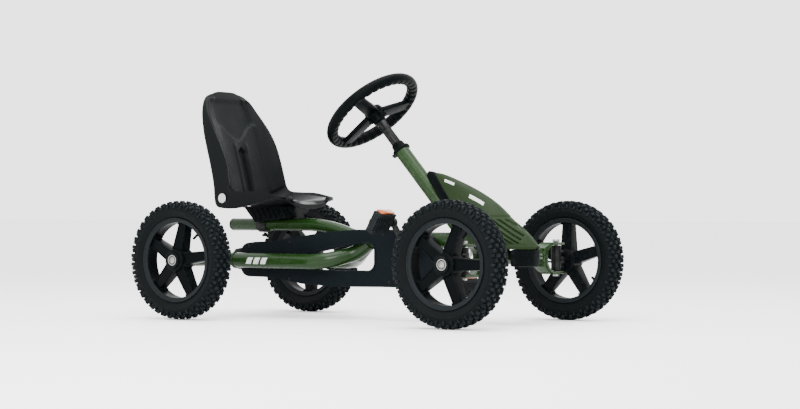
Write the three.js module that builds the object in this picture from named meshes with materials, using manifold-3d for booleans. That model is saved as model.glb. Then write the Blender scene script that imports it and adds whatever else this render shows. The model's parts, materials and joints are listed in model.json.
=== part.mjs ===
// A child's pedal go kart: chain drive to the rear axle, bucket seat that slides on its tube,
// steered front wheels on a swinging front axle, and a wedge-shaped nose.
// Units are millimetres. X points forward, Y to the driver's left, Z up.
// The origin is on the ground, midway between the axles.
import * as THREE from 'three';
import { mergeVertices } from 'three/addons/utils/BufferGeometryUtils.js';
import Module from 'manifold-3d';

const wasm = await Module();
wasm.setup();

// ---------------------------------------------------------------- driving dimensions
const WHEELBASE = 832;
const TRACK = 550;
const TYRE_R = 153;
const TYRE_HALF_WIDTH = 28.5;
const WHEEL_SIDES = 32; // flat facets round a tyre, one of them facing straight down
const RIM_R = 113;
const RIM_HALF_WIDTH = 23.5;
const SPOKES = 5;
const SPOKE_TURN = { rear_right: 10, rear_left: 34, front_right: 18, front_left: 2 };
const HUB_R = 29;
const HUB_FACE = 34; // hub's outer face, measured outward from the wheel's centre plane
const AXLE_R = 6;

const SEAT_TUBE_R = 16.5;
const SEAT_TUBE_Z = 244;
const SIDE_TUBE_R = 20;
const SIDE_TUBE_Y = 72;
const SIDE_TUBE_Z = 148;
const AXLE_TUBE_R = 17;
const MAIN_TUBE_R = 20;
const MAIN_TUBE_Z = 206;
const JOIN_X = -20; // where the seat tube and the side tubes meet the main tube

const COLUMN_LEAN = 48.5; // degrees that the steering column points down from level
const WHEEL_LEAN = 41; // degrees that the steering wheel's plane rises from level
const STEERING_CENTRE = [-4.5, 0, 537];
const STEERING_RING_R = 121;
const STEERING_GRIP_R = 14.7;
const HEAD_TUBE_R = 19;
const HEAD_TUBE_SPAN = [141, 436]; // along the column from the steering wheel's centre
const DROP_ARM = 34;
const STUD_Y = 12; // tie rod studs either side of the drop arm's middle

const CRANK_X = 153;
const CRANK_Z = 168;
const CRANK_ARM = 90;
const CRANK_TURN = 113; // degrees from +X, turned towards +Z, of the right-hand arm
const CHAINRING_R = 48; // 24 teeth
const SPROCKET_R = 24; // 12 teeth
const CHAIN_Y = -34;
const CHAIN_CLEARANCE = 0.4;

const SWING_Z = 165; // height of the front axle beam and of its swing pin
const KINGPIN_Y = 214;
const KNUCKLE_ARM = 64;
const KNUCKLE_BALL_Y = 206;

const REAR_X = -WHEELBASE / 2;
const FRONT_X = WHEELBASE / 2;
const AXLE_Z = TYRE_R;
const GAP = 0.4; // clearance left between touching pieces

// ---------------------------------------------------------------- finishes
const finish = (colour, roughness, metalness = 0) =>
  new THREE.MeshStandardMaterial({ color: colour, roughness, metalness });
const FRAME_GREEN = finish(0x3d6032, 0.35, 0.3);
const NOSE_GREEN = finish(0x4f7340, 0.5);
const BLACK_SHELL = finish(0x15191a, 0.4);
const DARK_PLASTIC = finish(0x1d2224, 0.55);
const RUBBER = finish(0x14191c, 0.85);
const RIM_GREY = finish(0x202426, 0.5);
const ZINC = finish(0xb9bcbd, 0.3, 0.9);
const BLACK_STEEL = finish(0x101314, 0.45, 0.5);
const ORANGE = finish(0xd8641a, 0.3);

// ---------------------------------------------------------------- solids
const Y = new THREE.Vector3(0, 1, 0);
const rad = THREE.MathUtils.degToRad;
const vec = (x, y, z) => new THREE.Vector3(x, y, z);

/** Six times the volume inside a closed geometry, negative where its faces point in. */
function signedVolume(geometry) {
  const at = geometry.attributes.position;
  const index = geometry.index.array;
  const [a, b, c] = [vec(0, 0, 0), vec(0, 0, 0), vec(0, 0, 0)];
  let sum = 0;
  for (let i = 0; i < index.length; i += 3) {
    a.fromBufferAttribute(at, index[i]);
    b.fromBufferAttribute(at, index[i + 1]);
    c.fromBufferAttribute(at, index[i + 2]);
    sum += a.dot(b.cross(c));
  }
  return sum;
}

/** A geometry's shared corners merged and its faces turned outwards. */
function closed(geometry) {
  const bare = geometry.clone();
  bare.deleteAttribute('normal');
  bare.deleteAttribute('uv');
  const merged = mergeVertices(bare, 1e-3);
  if (signedVolume(merged) < 0) {
    const index = merged.index.array;
    for (let i = 0; i < index.length; i += 3) [index[i], index[i + 1]] = [index[i + 1], index[i]];
  }
  return merged;
}

function solid(geometry) {
  const merged = closed(geometry);
  const mesh = new wasm.Mesh({
    numProp: 3,
    vertProperties: Float32Array.from(merged.attributes.position.array),
    triVerts: Uint32Array.from(merged.index.array),
  });
  return new wasm.Manifold(mesh);
}

function geometryOf(manifold) {
  const mesh = manifold.getMesh();
  const geometry = new THREE.BufferGeometry();
  geometry.setAttribute('position', new THREE.BufferAttribute(mesh.vertProperties, 3));
  geometry.setIndex(new THREE.BufferAttribute(mesh.triVerts, 1));
  return geometry;
}

/** One geometry: the first joined with the others, less everything in the second list. */
function shaped(joined, cut = []) {
  let body = joined.map(solid).reduce((sum, next) => sum.add(next));
  for (const hole of cut) body = body.subtract(solid(hole));
  return geometryOf(body);
}

/** A cylinder from one point to another. */
function rod(from, to, radius, sides = 16) {
  const [a, b] = [vec(...from), vec(...to)];
  const geometry = new THREE.CylinderGeometry(radius, radius, a.distanceTo(b), sides);
  const turn = new THREE.Quaternion().setFromUnitVectors(Y, b.clone().sub(a).normalize());
  return geometry.applyQuaternion(turn).translate(...a.add(b).multiplyScalar(0.5).toArray());
}

function block(low, high) {
  const size = high.map((top, i) => top - low[i]);
  const middle = high.map((top, i) => (top + low[i]) / 2);
  return new THREE.BoxGeometry(...size).translate(...middle);
}

/** A round tube's outer solid along a smooth line through the points. */
function bentTube(points, radius, steps, sides = 16) {
  const path = new THREE.CatmullRomCurve3(points.map((p) => vec(...p)), false, 'centripetal');
  const section = new THREE.Shape();
  for (let i = 0; i < sides; i += 1) {
    const angle = (2 * Math.PI * i) / sides;
    const corner = [radius * Math.cos(angle), radius * Math.sin(angle)];
    if (i === 0) section.moveTo(...corner);
    else section.lineTo(...corner);
  }
  section.closePath();
  return new THREE.ExtrudeGeometry(section, { steps, extrudePath: path, curveSegments: 1 });
}

/** A flat outline in X and Z, thick from one Y to another. */
function plateXZ(shape, lowY, highY, curveSegments = 6) {
  const options = { depth: highY - lowY, bevelEnabled: false, curveSegments };
  return new THREE.ExtrudeGeometry(shape, options).rotateX(Math.PI / 2).translate(0, highY, 0);
}

/** A flat outline in X and Y, thick from one Z to another. */
function plateXY(shape, lowZ, highZ, curveSegments = 6) {
  const options = { depth: highZ - lowZ, bevelEnabled: false, curveSegments };
  return new THREE.ExtrudeGeometry(shape, options).translate(0, 0, lowZ);
}

function outline(points) {
  const shape = new THREE.Shape();
  points.forEach(([a, b], i) => (i === 0 ? shape.moveTo(a, b) : shape.lineTo(a, b)));
  shape.closePath();
  return shape;
}

/** Triangles that close a ring from its first corner. */
const fanCap = (count) => Array.from({ length: count - 2 }, (_, i) => [0, i + 2, i + 1]);

/** Triangles that close a ring whose second half runs back alongside its first. */
const stripCap = (count) => Array.from({ length: count / 2 - 1 }, (_, i) => [
  [i + 1, i, count - 1 - i], [i + 1, count - 1 - i, count - 2 - i]]).flat();

/** Skins rings of equal length into one closed solid, with both ends closed the same way. */
function loft(rings, cap = fanCap) {
  const count = rings[0].length;
  const corners = rings.flat(2);
  const faces = [];
  for (let r = 0; r + 1 < rings.length; r += 1) {
    for (let i = 0; i < count; i += 1) {
      const [a, b] = [r * count + i, r * count + ((i + 1) % count)];
      faces.push(a, b, b + count, a, b + count, a + count);
    }
  }
  const last = (rings.length - 1) * count;
  for (const [a, b, c] of cap(count)) faces.push(a, b, c, last + a, last + c, last + b);
  const geometry = new THREE.BufferGeometry();
  geometry.setAttribute('position', new THREE.Float32BufferAttribute(corners, 3));
  geometry.setIndex(faces);
  return geometry;
}

const kart = new THREE.Group();

function piece(name, geometry, material, parent = kart) {
  const mesh = new THREE.Mesh(geometry, material);
  mesh.name = name;
  parent.add(mesh);
  return mesh;
}

// ---------------------------------------------------------------- wheels
/** A ring turned about Y from a closed profile of [flat radius, Y] pairs. */
function turned(profile, sides = WHEEL_SIDES) {
  const stretch = 1 / Math.cos(Math.PI / sides);
  const loop = [...profile, profile[0]].map(([r, y]) => new THREE.Vector2(r * stretch, y));
  return closed(new THREE.LatheGeometry(loop, sides, Math.PI / sides));
}

function tyreGeometry() {
  const w = TYRE_HALF_WIDTH;
  const side = [[RIM_R - 5, 20], [RIM_R + 1.5, 20], [RIM_R + 12, w], [TYRE_R - 9, w - 3.5], [TYRE_R, w - 11]];
  return turned([...side, ...side.map(([r, y]) => [r, -y]).reverse()]);
}

function spokeGeometry(turn) {
  const shape = outline([[18, -15], [104, -11], [104, 11], [18, 15]]);
  return plateXZ(shape, -9, 15).rotateY(-turn);
}

/** A deep rim with broad spokes, one of them turned forward from upright; its hub is bored for a bearing. */
function rimGeometry(outward, turn) {
  const [r, w] = [RIM_R, RIM_HALF_WIDTH];
  const half = [[r - 12, 8], [r - 8, w], [r, w], [r, w - 3.2], [r - 5.5, w - 3.2]];
  const barrel = turned([...half, ...half.map(([a, b]) => [a, -b]).reverse()]);
  const hub = rod([0, -26, 0], [0, HUB_FACE, 0], HUB_R, 20);
  const first = outward * rad(90 - turn);
  const arms = Array.from({ length: SPOKES }, (_, i) => spokeGeometry(first + (2 * Math.PI * i) / SPOKES));
  const bore = rod([0, -40, 0], [0, 40, 0], AXLE_R + 1, 12);
  const seat = rod([0, 20, 0], [0, 40, 0], 14.4, 16);
  const geometry = shaped([barrel, hub, ...arms], [bore, seat]);
  return outward > 0 ? geometry : closed(geometry.rotateX(Math.PI));
}

function bearingGeometry(outward) {
  const ring = shaped([rod([0, 20.4, 0], [0, 29, 0], 13.8, 16)], [rod([0, 10, 0], [0, 40, 0], AXLE_R + 1, 12)]);
  return outward > 0 ? ring : closed(ring.rotateX(Math.PI));
}

function addWheel(place, x, outward) {
  const wheel = new THREE.Group();
  wheel.position.set(x, (outward * TRACK) / 2, AXLE_Z);
  piece(`tyre_${place}`, tyreGeometry(), RUBBER, wheel);
  piece(`rim_${place}`, rimGeometry(outward, SPOKE_TURN[place]), RIM_GREY, wheel);
  piece(`bearing_${place}`, bearingGeometry(outward), ZINC, wheel);
  kart.add(wheel);
}

addWheel('rear_right', REAR_X, -1);
addWheel('rear_left', REAR_X, 1);
addWheel('front_right', FRONT_X, -1);
addWheel('front_left', FRONT_X, 1);

/** A hexagonal axle nut and washer that stand in the recess of a wheel's hub. */
function nutGeometry(x, outward) {
  const at = (y) => [x, outward * (TRACK / 2 + y), AXLE_Z];
  return [rod(at(29.4), at(33.6), 9.5, 6)];
}

// ---------------------------------------------------------------- frame
const columnDir = vec(Math.cos(rad(COLUMN_LEAN)), 0, -Math.sin(rad(COLUMN_LEAN)));
const columnAt = (s, across = 0) => {
  const p = vec(...STEERING_CENTRE).addScaledVector(columnDir, s);
  return [p.x, across, p.z];
};
const headFoot = columnAt(HEAD_TUBE_SPAN[1]);

function addFrameTubes() {
  const seatLine = [[REAR_X - 49, 0, SEAT_TUBE_Z], [-300, 0, SEAT_TUBE_Z], [-190, 0, SEAT_TUBE_Z - 0.5],
    [-130, 0, SEAT_TUBE_Z - 7], [-80, 0, 222], [JOIN_X - 21, 0, 207]];
  const seatTube = bentTube(seatLine, SEAT_TUBE_R, 12);
  const mainEnd = columnAt(HEAD_TUBE_SPAN[1] - 34)[0];
  const mainTube = rod([JOIN_X, 0, MAIN_TUBE_Z], [mainEnd, 0, MAIN_TUBE_Z], MAIN_TUBE_R);
  const headTube = rod(columnAt(HEAD_TUBE_SPAN[0]), headFoot, HEAD_TUBE_R + GAP);
  const bore = rod(columnAt(HEAD_TUBE_SPAN[0] - 20), columnAt(HEAD_TUBE_SPAN[1] + 20), 14, 12);
  piece('main_tube', shaped([mainTube], [headTube]), FRAME_GREEN);
  piece('head_tube', shaped([rod(columnAt(HEAD_TUBE_SPAN[0]), headFoot, HEAD_TUBE_R)], [bore]), FRAME_GREEN);
  const mainCut = rod([JOIN_X - GAP, 0, MAIN_TUBE_Z], [60, 0, MAIN_TUBE_Z], MAIN_TUBE_R + GAP);
  piece('upper_seat_tube', shaped([seatTube], [mainCut]), FRAME_GREEN);
  for (const [side, y] of [['right', -SIDE_TUBE_Y], ['left', SIDE_TUBE_Y]]) {
    const line = [[REAR_X + AXLE_TUBE_R + GAP, y, SIDE_TUBE_Z + 2], [-260, y, SIDE_TUBE_Z], [-130, y, SIDE_TUBE_Z],
      [-94, y * 0.78, 150], [-60, y * 0.36, 158], [JOIN_X - 4, 0, 182]];
    const centrePlane = block([-120, y < 0 ? -GAP / 2 : -60, 80], [40, y < 0 ? 60 : GAP / 2, 260]);
    const seatCut = bentTube(seatLine, SEAT_TUBE_R + GAP, 12);
    const tubeBody = bentTube(line, SIDE_TUBE_R, 12, 14);
    piece(`side_tube_${side}`, shaped([tubeBody], [mainCut, centrePlane, seatCut]), FRAME_GREEN);
    const out = Math.sign(y);
    const tube = rod([REAR_X, out * 48, AXLE_Z], [REAR_X, out * 232, AXLE_Z], AXLE_TUBE_R);
    const inner = rod([REAR_X, out * 30, AXLE_Z], [REAR_X, out * 240, AXLE_Z], 12.6, 12);
    piece(`rear_axle_tube_${side}`, shaped([tube], [inner]), FRAME_GREEN);
    const race = rod([REAR_X, out * 200, AXLE_Z], [REAR_X, out * 231, AXLE_Z], 12, 12);
    const hole = rod([REAR_X, out * 190, AXLE_Z], [REAR_X, out * 250, AXLE_Z], AXLE_R + GAP, 12);
    piece(`rear_axle_bearing_${side}`, shaped([race], [hole]), ZINC);
  }
  const endX = REAR_X - 49 - GAP;
  const cap = rod([endX - 5, 0, SEAT_TUBE_Z], [endX, 0, SEAT_TUBE_Z], SEAT_TUBE_R - 0.5);
  const pull = rod([endX - 8, 0, SEAT_TUBE_Z], [endX + 3, 0, SEAT_TUBE_Z], 3.5, 8);
  piece('seat_tube_end_cap', shaped([cap], [pull]), DARK_PLASTIC);
}

/** The shell that the crank turns in, welded below the main tube by a short saddle. */
function addCrankShell() {
  const barrel = rod([CRANK_X, -20, CRANK_Z], [CRANK_X, 20, CRANK_Z], 18);
  const saddle = block([CRANK_X - 13, -12, CRANK_Z], [CRANK_X + 13, 12, MAIN_TUBE_Z - 12]);
  const spindle = rod([CRANK_X, -30, CRANK_Z], [CRANK_X, 30, CRANK_Z], 9, 12);
  const tube = rod([60, 0, MAIN_TUBE_Z], [260, 0, MAIN_TUBE_Z], MAIN_TUBE_R + GAP);
  piece('bottom_bracket_shell', shaped([barrel, saddle], [spindle, tube]), FRAME_GREEN);
}

/** Two welded side plates from the head tube's foot, joined by a block that holds the swing pin. */
function addFrontFork() {
  const shape = outline([[262, 204], [286, 224], [330, 222], [376, 200], [397, 200], [397, 150], [381, 146], [370, 178],
    [330, 196], [290, 190]]);
  const side = plateXZ(shape, 20, 25);
  const mirrored = plateXZ(shape, -25, -20);
  const brace = block([318, -22, 199], [338, 22, 214]);
  const wall = block([388, -22, 150], [393, 22, 198]);
  const pinHole = rod([370, 0, SWING_Z], [420, 0, SWING_Z], 8, 12);
  piece('front_fork_bracket', shaped([side, mirrored, brace, wall], [pinHole]), FRAME_GREEN);
  const washer = rod([376, 0, SWING_Z], [387.6, 0, SWING_Z], 12, 6);
  const pin = rod([380, 0, SWING_Z], [444, 0, SWING_Z], 7.6, 12);
  const head = rod([441, 0, SWING_Z], [447, 0, SWING_Z], 12, 12);
  piece('axle_swing_pin', shaped([washer, pin, head]), BLACK_STEEL);
}

function addColumnBushes() {
  const hole = rod(columnAt(100), columnAt(460), 10 + GAP, 12);
  const top = HEAD_TUBE_SPAN[0] - GAP;
  const neck = rod(columnAt(top - 25), columnAt(top - 10), 17.5);
  piece('column_collar', shaped([neck, rod(columnAt(top - 12), columnAt(top), 23.5)], [hole]), DARK_PLASTIC);
  const foot = HEAD_TUBE_SPAN[1] + GAP;
  piece('column_lower_bush', shaped([rod(columnAt(foot), columnAt(foot + 6), 18)], [hole]), DARK_PLASTIC);
}

addFrameTubes();
addCrankShell();
addFrontFork();
addColumnBushes();

// ---------------------------------------------------------------- chain drive
/** A loop round the sprocket and the chainring at a distance outside their teeth. */
function chainLoop(extra) {
  const [rear, front] = [SPROCKET_R + extra, CHAINRING_R + extra];
  const lean = Math.atan2(CRANK_Z - AXLE_Z, CRANK_X - REAR_X);
  const reach = Math.hypot(CRANK_Z - AXLE_Z, CRANK_X - REAR_X);
  const spread = Math.acos((rear - front) / reach);
  const shape = new THREE.Shape();
  shape.absarc(REAR_X, AXLE_Z, rear, lean + spread, lean - spread + 2 * Math.PI, false);
  shape.absarc(CRANK_X, CRANK_Z, front, lean - spread, lean + spread, false);
  shape.closePath();
  return shape;
}

/** The chain cover's outline: a long blunt tail that swells to a round front about the crank. */
function coverOutline(inset = 0) {
  const shape = new THREE.Shape();
  const [low, high, tail, front] = [84 + inset, 232 - inset, REAR_X + 10 + inset, 74 - inset];
  shape.moveTo(tail + 26, 108 + inset - 2);
  shape.lineTo(-293, 105 + inset);
  shape.lineTo(-200, 90 + inset);
  shape.lineTo(-85, low);
  shape.lineTo(99, low + 3);
  shape.absarc(CRANK_X, CRANK_Z - 8, front, rad(-105), rad(60), false);
  shape.lineTo(96, high);
  shape.lineTo(-20, high);
  shape.lineTo(-117, 226 - inset);
  shape.lineTo(-302, 200 - inset);
  shape.lineTo(tail + 30, 196 - inset);
  shape.quadraticCurveTo(tail, 192 - inset, tail, 168);
  shape.lineTo(tail, 132);
  shape.quadraticCurveTo(tail, 108 + inset, tail + 26, 106 + inset);
  return shape;
}

/** The window between the two runs of the chain, where the side tube passes inwards. */
function coverWindow(grow = 0) {
  const shape = new THREE.Shape();
  const end = 22 + grow;
  shape.moveTo(-140, 127 - grow);
  shape.lineTo(8, 127 - grow);
  shape.absarc(10, 149, end, rad(-90), rad(0), false);
  shape.lineTo(32 + grow, 178);
  shape.absarc(12, 178, end - 2, rad(0), rad(90), false);
  shape.lineTo(-136, 175 + grow);
  shape.absarc(-140, 159, 16 + grow, rad(90), rad(180), false);
  shape.lineTo(-156 - grow, 143);
  shape.absarc(-140, 143, 16 + grow, rad(180), rad(270), false);
  return shape;
}

function addChainDrive() {
  const ring = rod([CRANK_X, CHAIN_Y - 2, CRANK_Z], [CRANK_X, CHAIN_Y + 2, CRANK_Z], CHAINRING_R, 30);
  const eye = rod([CRANK_X, CHAIN_Y - 9, CRANK_Z], [CRANK_X, CHAIN_Y + 9, CRANK_Z], 8.4, 12);
  piece('chainring', shaped([ring], [eye]), BLACK_STEEL);
  const sprocket = rod([REAR_X, CHAIN_Y - 2, AXLE_Z], [REAR_X, CHAIN_Y + 2, AXLE_Z], SPROCKET_R, 24);
  const hub = rod([REAR_X, -21, AXLE_Z], [REAR_X, 26, AXLE_Z], 24, 16);
  const neck = rod([REAR_X, CHAIN_Y, AXLE_Z], [REAR_X, 0, AXLE_Z], 14, 12);
  const bore = rod([REAR_X, -40, AXLE_Z], [REAR_X, 40, AXLE_Z], AXLE_R + GAP, 12);
  piece('brake_hub_sprocket', shaped([sprocket, hub, neck], [bore]), BLACK_STEEL);
  const outer = plateXZ(chainLoop(7), CHAIN_Y - 3.5, CHAIN_Y + 3.5, 10);
  const inner = plateXZ(chainLoop(CHAIN_CLEARANCE * 2), CHAIN_Y - 9, CHAIN_Y + 9, 10);
  piece('chain', shaped([outer], [inner]), BLACK_STEEL);
}

/** Half of the chain cover: a face with a wall round its edge and round its window. */
function coverHalf(face, rim) {
  const [low, high] = [Math.min(face, rim), Math.max(face, rim)];
  const out = Math.sign(rim - face);
  const full = plateXZ(coverOutline(), low, high);
  const hollow = plateXZ(coverOutline(3), Math.min(face + out * 3, rim + out * 5), Math.max(face + out * 3, rim + out * 5));
  const collar = plateXZ(coverWindow(3), low, high);
  const window = plateXZ(coverWindow(), -80, 0);
  const shell = solid(full).subtract(solid(hollow)).add(solid(collar)).subtract(solid(window));
  return shell;
}

function addCovers() {
  const outerHalf = coverHalf(CHAIN_Y - 11, CHAIN_Y - 0.2);
  const innerHalf = coverHalf(CHAIN_Y + 11, CHAIN_Y + 0.2);
  const crankEye = solid(rod([CRANK_X, -80, CRANK_Z], [CRANK_X, 0, CRANK_Z], 22, 20));
  const axleEye = solid(rod([REAR_X, -34, AXLE_Z], [REAR_X, -20, AXLE_Z], 26, 20));
  const chainMouth = solid(block([REAR_X, CHAIN_Y - 8, AXLE_Z - 34], [REAR_X + 24, CHAIN_Y + 8, AXLE_Z + 34]));
  piece('chain_cover_outer', geometryOf(outerHalf.subtract(crankEye).subtract(chainMouth)), BLACK_SHELL);
  piece('chain_cover_inner', geometryOf(innerHalf.subtract(crankEye).subtract(axleEye).subtract(chainMouth)), DARK_PLASTIC);
}

addChainDrive();
addCovers();

// ---------------------------------------------------------------- crank and pedals
const PEDAL_Y = 135;
const PEDAL_HALF = [28, 36, 12];
const PEDAL_TILT = 60; // degrees that a pedal's front end is tipped up
const crankEnd = (side) => {
  const turn = rad(CRANK_TURN) + (side > 0 ? Math.PI : 0);
  return [CRANK_X + CRANK_ARM * Math.cos(turn), CRANK_Z + CRANK_ARM * Math.sin(turn)];
};

function addCrank() {
  const spindle = rod([CRANK_X, -66, CRANK_Z], [CRANK_X, 66, CRANK_Z], 8, 12);
  piece('crank_spindle', spindle, ZINC);
  for (const [name, side] of [['right', -1], ['left', 1]]) {
    const [px, pz] = crankEnd(side);
    const [inner, outer] = [side * 56, side * 84];
    const boss = rod([CRANK_X, inner - side, CRANK_Z], [CRANK_X, inner + side * 13, CRANK_Z], 15, 16);
    const arm = rod([CRANK_X, inner + side * 6, CRANK_Z], [px, outer, pz], 8.5, 10);
    const tip = rod([px, outer - side * 7, pz], [px, outer + side * 7, pz], 12, 12);
    const pin = rod([px, outer, pz], [px, side * 168, pz], 4.6, 8);
    const eye = rod([CRANK_X, 0, CRANK_Z], [CRANK_X, side * 80, CRANK_Z], 8 + GAP, 12);
    piece(`crank_arm_${name}`, shaped([boss, arm, tip, pin], [eye]), BLACK_STEEL);
    const tipped = (geometry) => geometry.rotateY(-rad(PEDAL_TILT)).translate(px, side * PEDAL_Y, pz);
    const body = tipped(block(PEDAL_HALF.map((size) => -size), PEDAL_HALF));
    const hole = rod([px, side * 60, pz], [px, side * 200, pz], 5.2, 8);
    piece(`pedal_${name}`, shaped([body], [hole]), DARK_PLASTIC);
    const glass = block([PEDAL_HALF[0] + GAP, -28, -9], [PEDAL_HALF[0] + 4.6, 28, 9]);
    piece(`pedal_reflector_${name}`, tipped(glass), ORANGE);
  }
}

addCrank();

// ---------------------------------------------------------------- rear axle
function addRearAxle() {
  const ends = TRACK / 2 + 29.4;
  const shaft = rod([REAR_X, -ends, AXLE_Z], [REAR_X, ends, AXLE_Z], AXLE_R, 12);
  piece('rear_axle_shaft', shaped([shaft, ...nutGeometry(REAR_X, 1), ...nutGeometry(REAR_X, -1)]), ZINC);
}

addRearAxle();

// ---------------------------------------------------------------- front axle and steering knuckles
function addFrontAxle() {
  const beam = rod([FRONT_X, -130, SWING_Z], [FRONT_X, 130, SWING_Z], 17);
  const sleeve = rod([FRONT_X - 18, 0, SWING_Z], [FRONT_X + 22, 0, SWING_Z], 15);
  const pinHole = rod([FRONT_X - 60, 0, SWING_Z], [FRONT_X + 60, 0, SWING_Z], 8, 12);
  piece('front_axle_beam', shaped([beam, sleeve], [pinHole]), FRAME_GREEN);
  for (const [name, side] of [['right', -1], ['left', 1]]) {
    const shape = outline([[130.4, 186], [168, 200], [230, 200], [230, 193], [172, 193], [150, 176], [150, 150], [172, 127],
      [230, 127], [230, 120], [168, 120], [130.4, 140]].map(([y, z]) => [side * y, z]));
    const options = { depth: 32, bevelEnabled: false };
    const fork = new THREE.ExtrudeGeometry(shape, options).rotateX(Math.PI / 2).rotateZ(Math.PI / 2).translate(FRONT_X - 16, 0, 0);
    const hole = rod([FRONT_X, side * KINGPIN_Y, 90], [FRONT_X, side * KINGPIN_Y, 230], 5 + GAP, 12);
    piece(`axle_fork_${name}`, shaped([fork], [hole]), FRAME_GREEN);
    const pin = rod([FRONT_X, side * KINGPIN_Y, 114], [FRONT_X, side * KINGPIN_Y, 206], 5, 12);
    const head = rod([FRONT_X, side * KINGPIN_Y, 200 + GAP], [FRONT_X, side * KINGPIN_Y, 208], 9.5, 6);
    piece(`kingpin_${name}`, shaped([pin, head]), ZINC);
  }
}

/** A knuckle's barrel on the kingpin, its stub axle with nut, and its trailing arm with a ball. */
function addKnuckles() {
  for (const [name, side] of [['right', -1], ['left', 1]]) {
    const y = side * KINGPIN_Y;
    const barrel = rod([FRONT_X, y, 128], [FRONT_X, y, 192], 13);
    const stubEnd = side * (TRACK / 2 + 29.4);
    const stub = rod([FRONT_X, y, AXLE_Z], [FRONT_X, stubEnd, AXLE_Z], AXLE_R, 12);
    const collar = rod([FRONT_X, y, AXLE_Z], [FRONT_X, side * 246, AXLE_Z], 12, 12);
    const ballX = FRONT_X - KNUCKLE_ARM;
    const ballY = side * KNUCKLE_BALL_Y;
    const arm = block([ballX - 9, ballY - 6, 148], [FRONT_X, ballY + 6, 153]);
    const ball = rod([ballX, ballY, 150], [ballX, ballY, 164], 4, 10);
    const pin = rod([FRONT_X, y, 90], [FRONT_X, y, 230], 5 + GAP, 12);
    piece(`steering_knuckle_${name}`, shaped([barrel, stub, collar, arm, ball, ...nutGeometry(FRONT_X, side)], [pin]), BLACK_STEEL);
  }
}

addFrontAxle();
addKnuckles();

// ---------------------------------------------------------------- steering
/** Axes of the steering wheel: up the wheel, across it and out of its face. */
const wheelUp = vec(Math.cos(rad(WHEEL_LEAN)), 0, Math.sin(rad(WHEEL_LEAN)));
const wheelOut = vec(-Math.sin(rad(WHEEL_LEAN)), 0, Math.cos(rad(WHEEL_LEAN)));

function addSteeringWheel() {
  const face = new THREE.Group();
  face.setRotationFromMatrix(new THREE.Matrix4().makeBasis(wheelUp, Y.clone(), wheelOut));
  face.position.set(...STEERING_CENTRE);
  const ring = new THREE.TorusGeometry(STEERING_RING_R, STEERING_GRIP_R, 8, 36);
  const spoke = (turn, length) => block([0, -17, -14], [length, 17, -4]).rotateZ(rad(turn));
  const spokes = [71, -71, 180].map((turn) => spoke(turn, STEERING_RING_R));
  const hub = rod([0, 0, -40], [0, 0, -3], 30, 20);
  const bore = rod([0, 0, -60], [0, 0, -16], 10.5, 12);
  piece('steering_wheel', shaped([ring, ...spokes, hub], [bore]), BLACK_SHELL, face);
  piece('steering_hub_cap', rod([0, 0, -3 + GAP], [0, 0, 4], 27, 20), DARK_PLASTIC, face);
  kart.add(face);
}

const shaftFoot = HEAD_TUBE_SPAN[1] + 34;
const armAcross = vec(-Math.sin(rad(COLUMN_LEAN)), 0, -Math.cos(rad(COLUMN_LEAN)));
const armEnd = vec(...columnAt(shaftFoot)).addScaledVector(armAcross, DROP_ARM);

function addColumn() {
  const upper = rod(columnAt(52), columnAt(HEAD_TUBE_SPAN[0] - 30), 13, 16);
  const shaft = rod(columnAt(44), columnAt(shaftFoot), 10, 12);
  piece('steering_shaft', shaped([upper, shaft]), BLACK_STEEL);
  const foot = vec(...columnAt(shaftFoot + GAP));
  const start = foot.clone().addScaledVector(columnDir, 6);
  const boss = rod(foot.toArray(), start.toArray(), 13, 16);
  const tab = armEnd.clone().addScaledVector(columnDir, 3 + GAP);
  const strip = new THREE.BoxGeometry(DROP_ARM, 16, 5).translate(-DROP_ARM / 2, 0, 0);
  const basis = new THREE.Matrix4().makeBasis(armAcross.clone().negate(), Y.clone(), columnDir.clone().negate());
  strip.applyMatrix4(basis).translate(...foot.clone().addScaledVector(columnDir, 3).toArray());
  const crossbar = rod([tab.x, -STUD_Y - 4, tab.z], [tab.x, STUD_Y + 4, tab.z], 4, 10);
  const studs = [-STUD_Y, STUD_Y].map((y) => rod([tab.x, y, tab.z], [tab.x, y, tab.z - 20], 3, 8));
  piece('drop_arm', shaped([boss, strip, crossbar, ...studs]), ZINC);
}

/** Each tie rod runs from a ring about its knuckle's ball to a loose ring about the drop arm's stud. */
function addTieRods() {
  const stud = armEnd.clone().addScaledVector(columnDir, 3 + GAP);
  for (const [name, side] of [['right', -1], ['left', 1]]) {
    const outerEye = [FRONT_X - KNUCKLE_ARM, side * KNUCKLE_BALL_Y, 158];
    const innerEye = [stud.x, side * STUD_Y, stud.z - 9.3];
    const ringAt = ([x, y, z], r) => rod([x, y, z - 2.8], [x, y, z + 2.8], r, 14);
    const holeAt = ([x, y, z], r) => rod([x, y, z - 20], [x, y, z + 20], r, 12);
    const joined = [rod(innerEye, outerEye, 3.6, 8), ringAt(outerEye, 9), ringAt(innerEye, 10.5)];
    piece(`tie_rod_${name}`, shaped(joined, [holeAt(innerEye, 7.6), holeAt(outerEye, 4 + GAP)]), ZINC);
  }
}

addSteeringWheel();
addColumn();
addTieRods();

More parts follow.
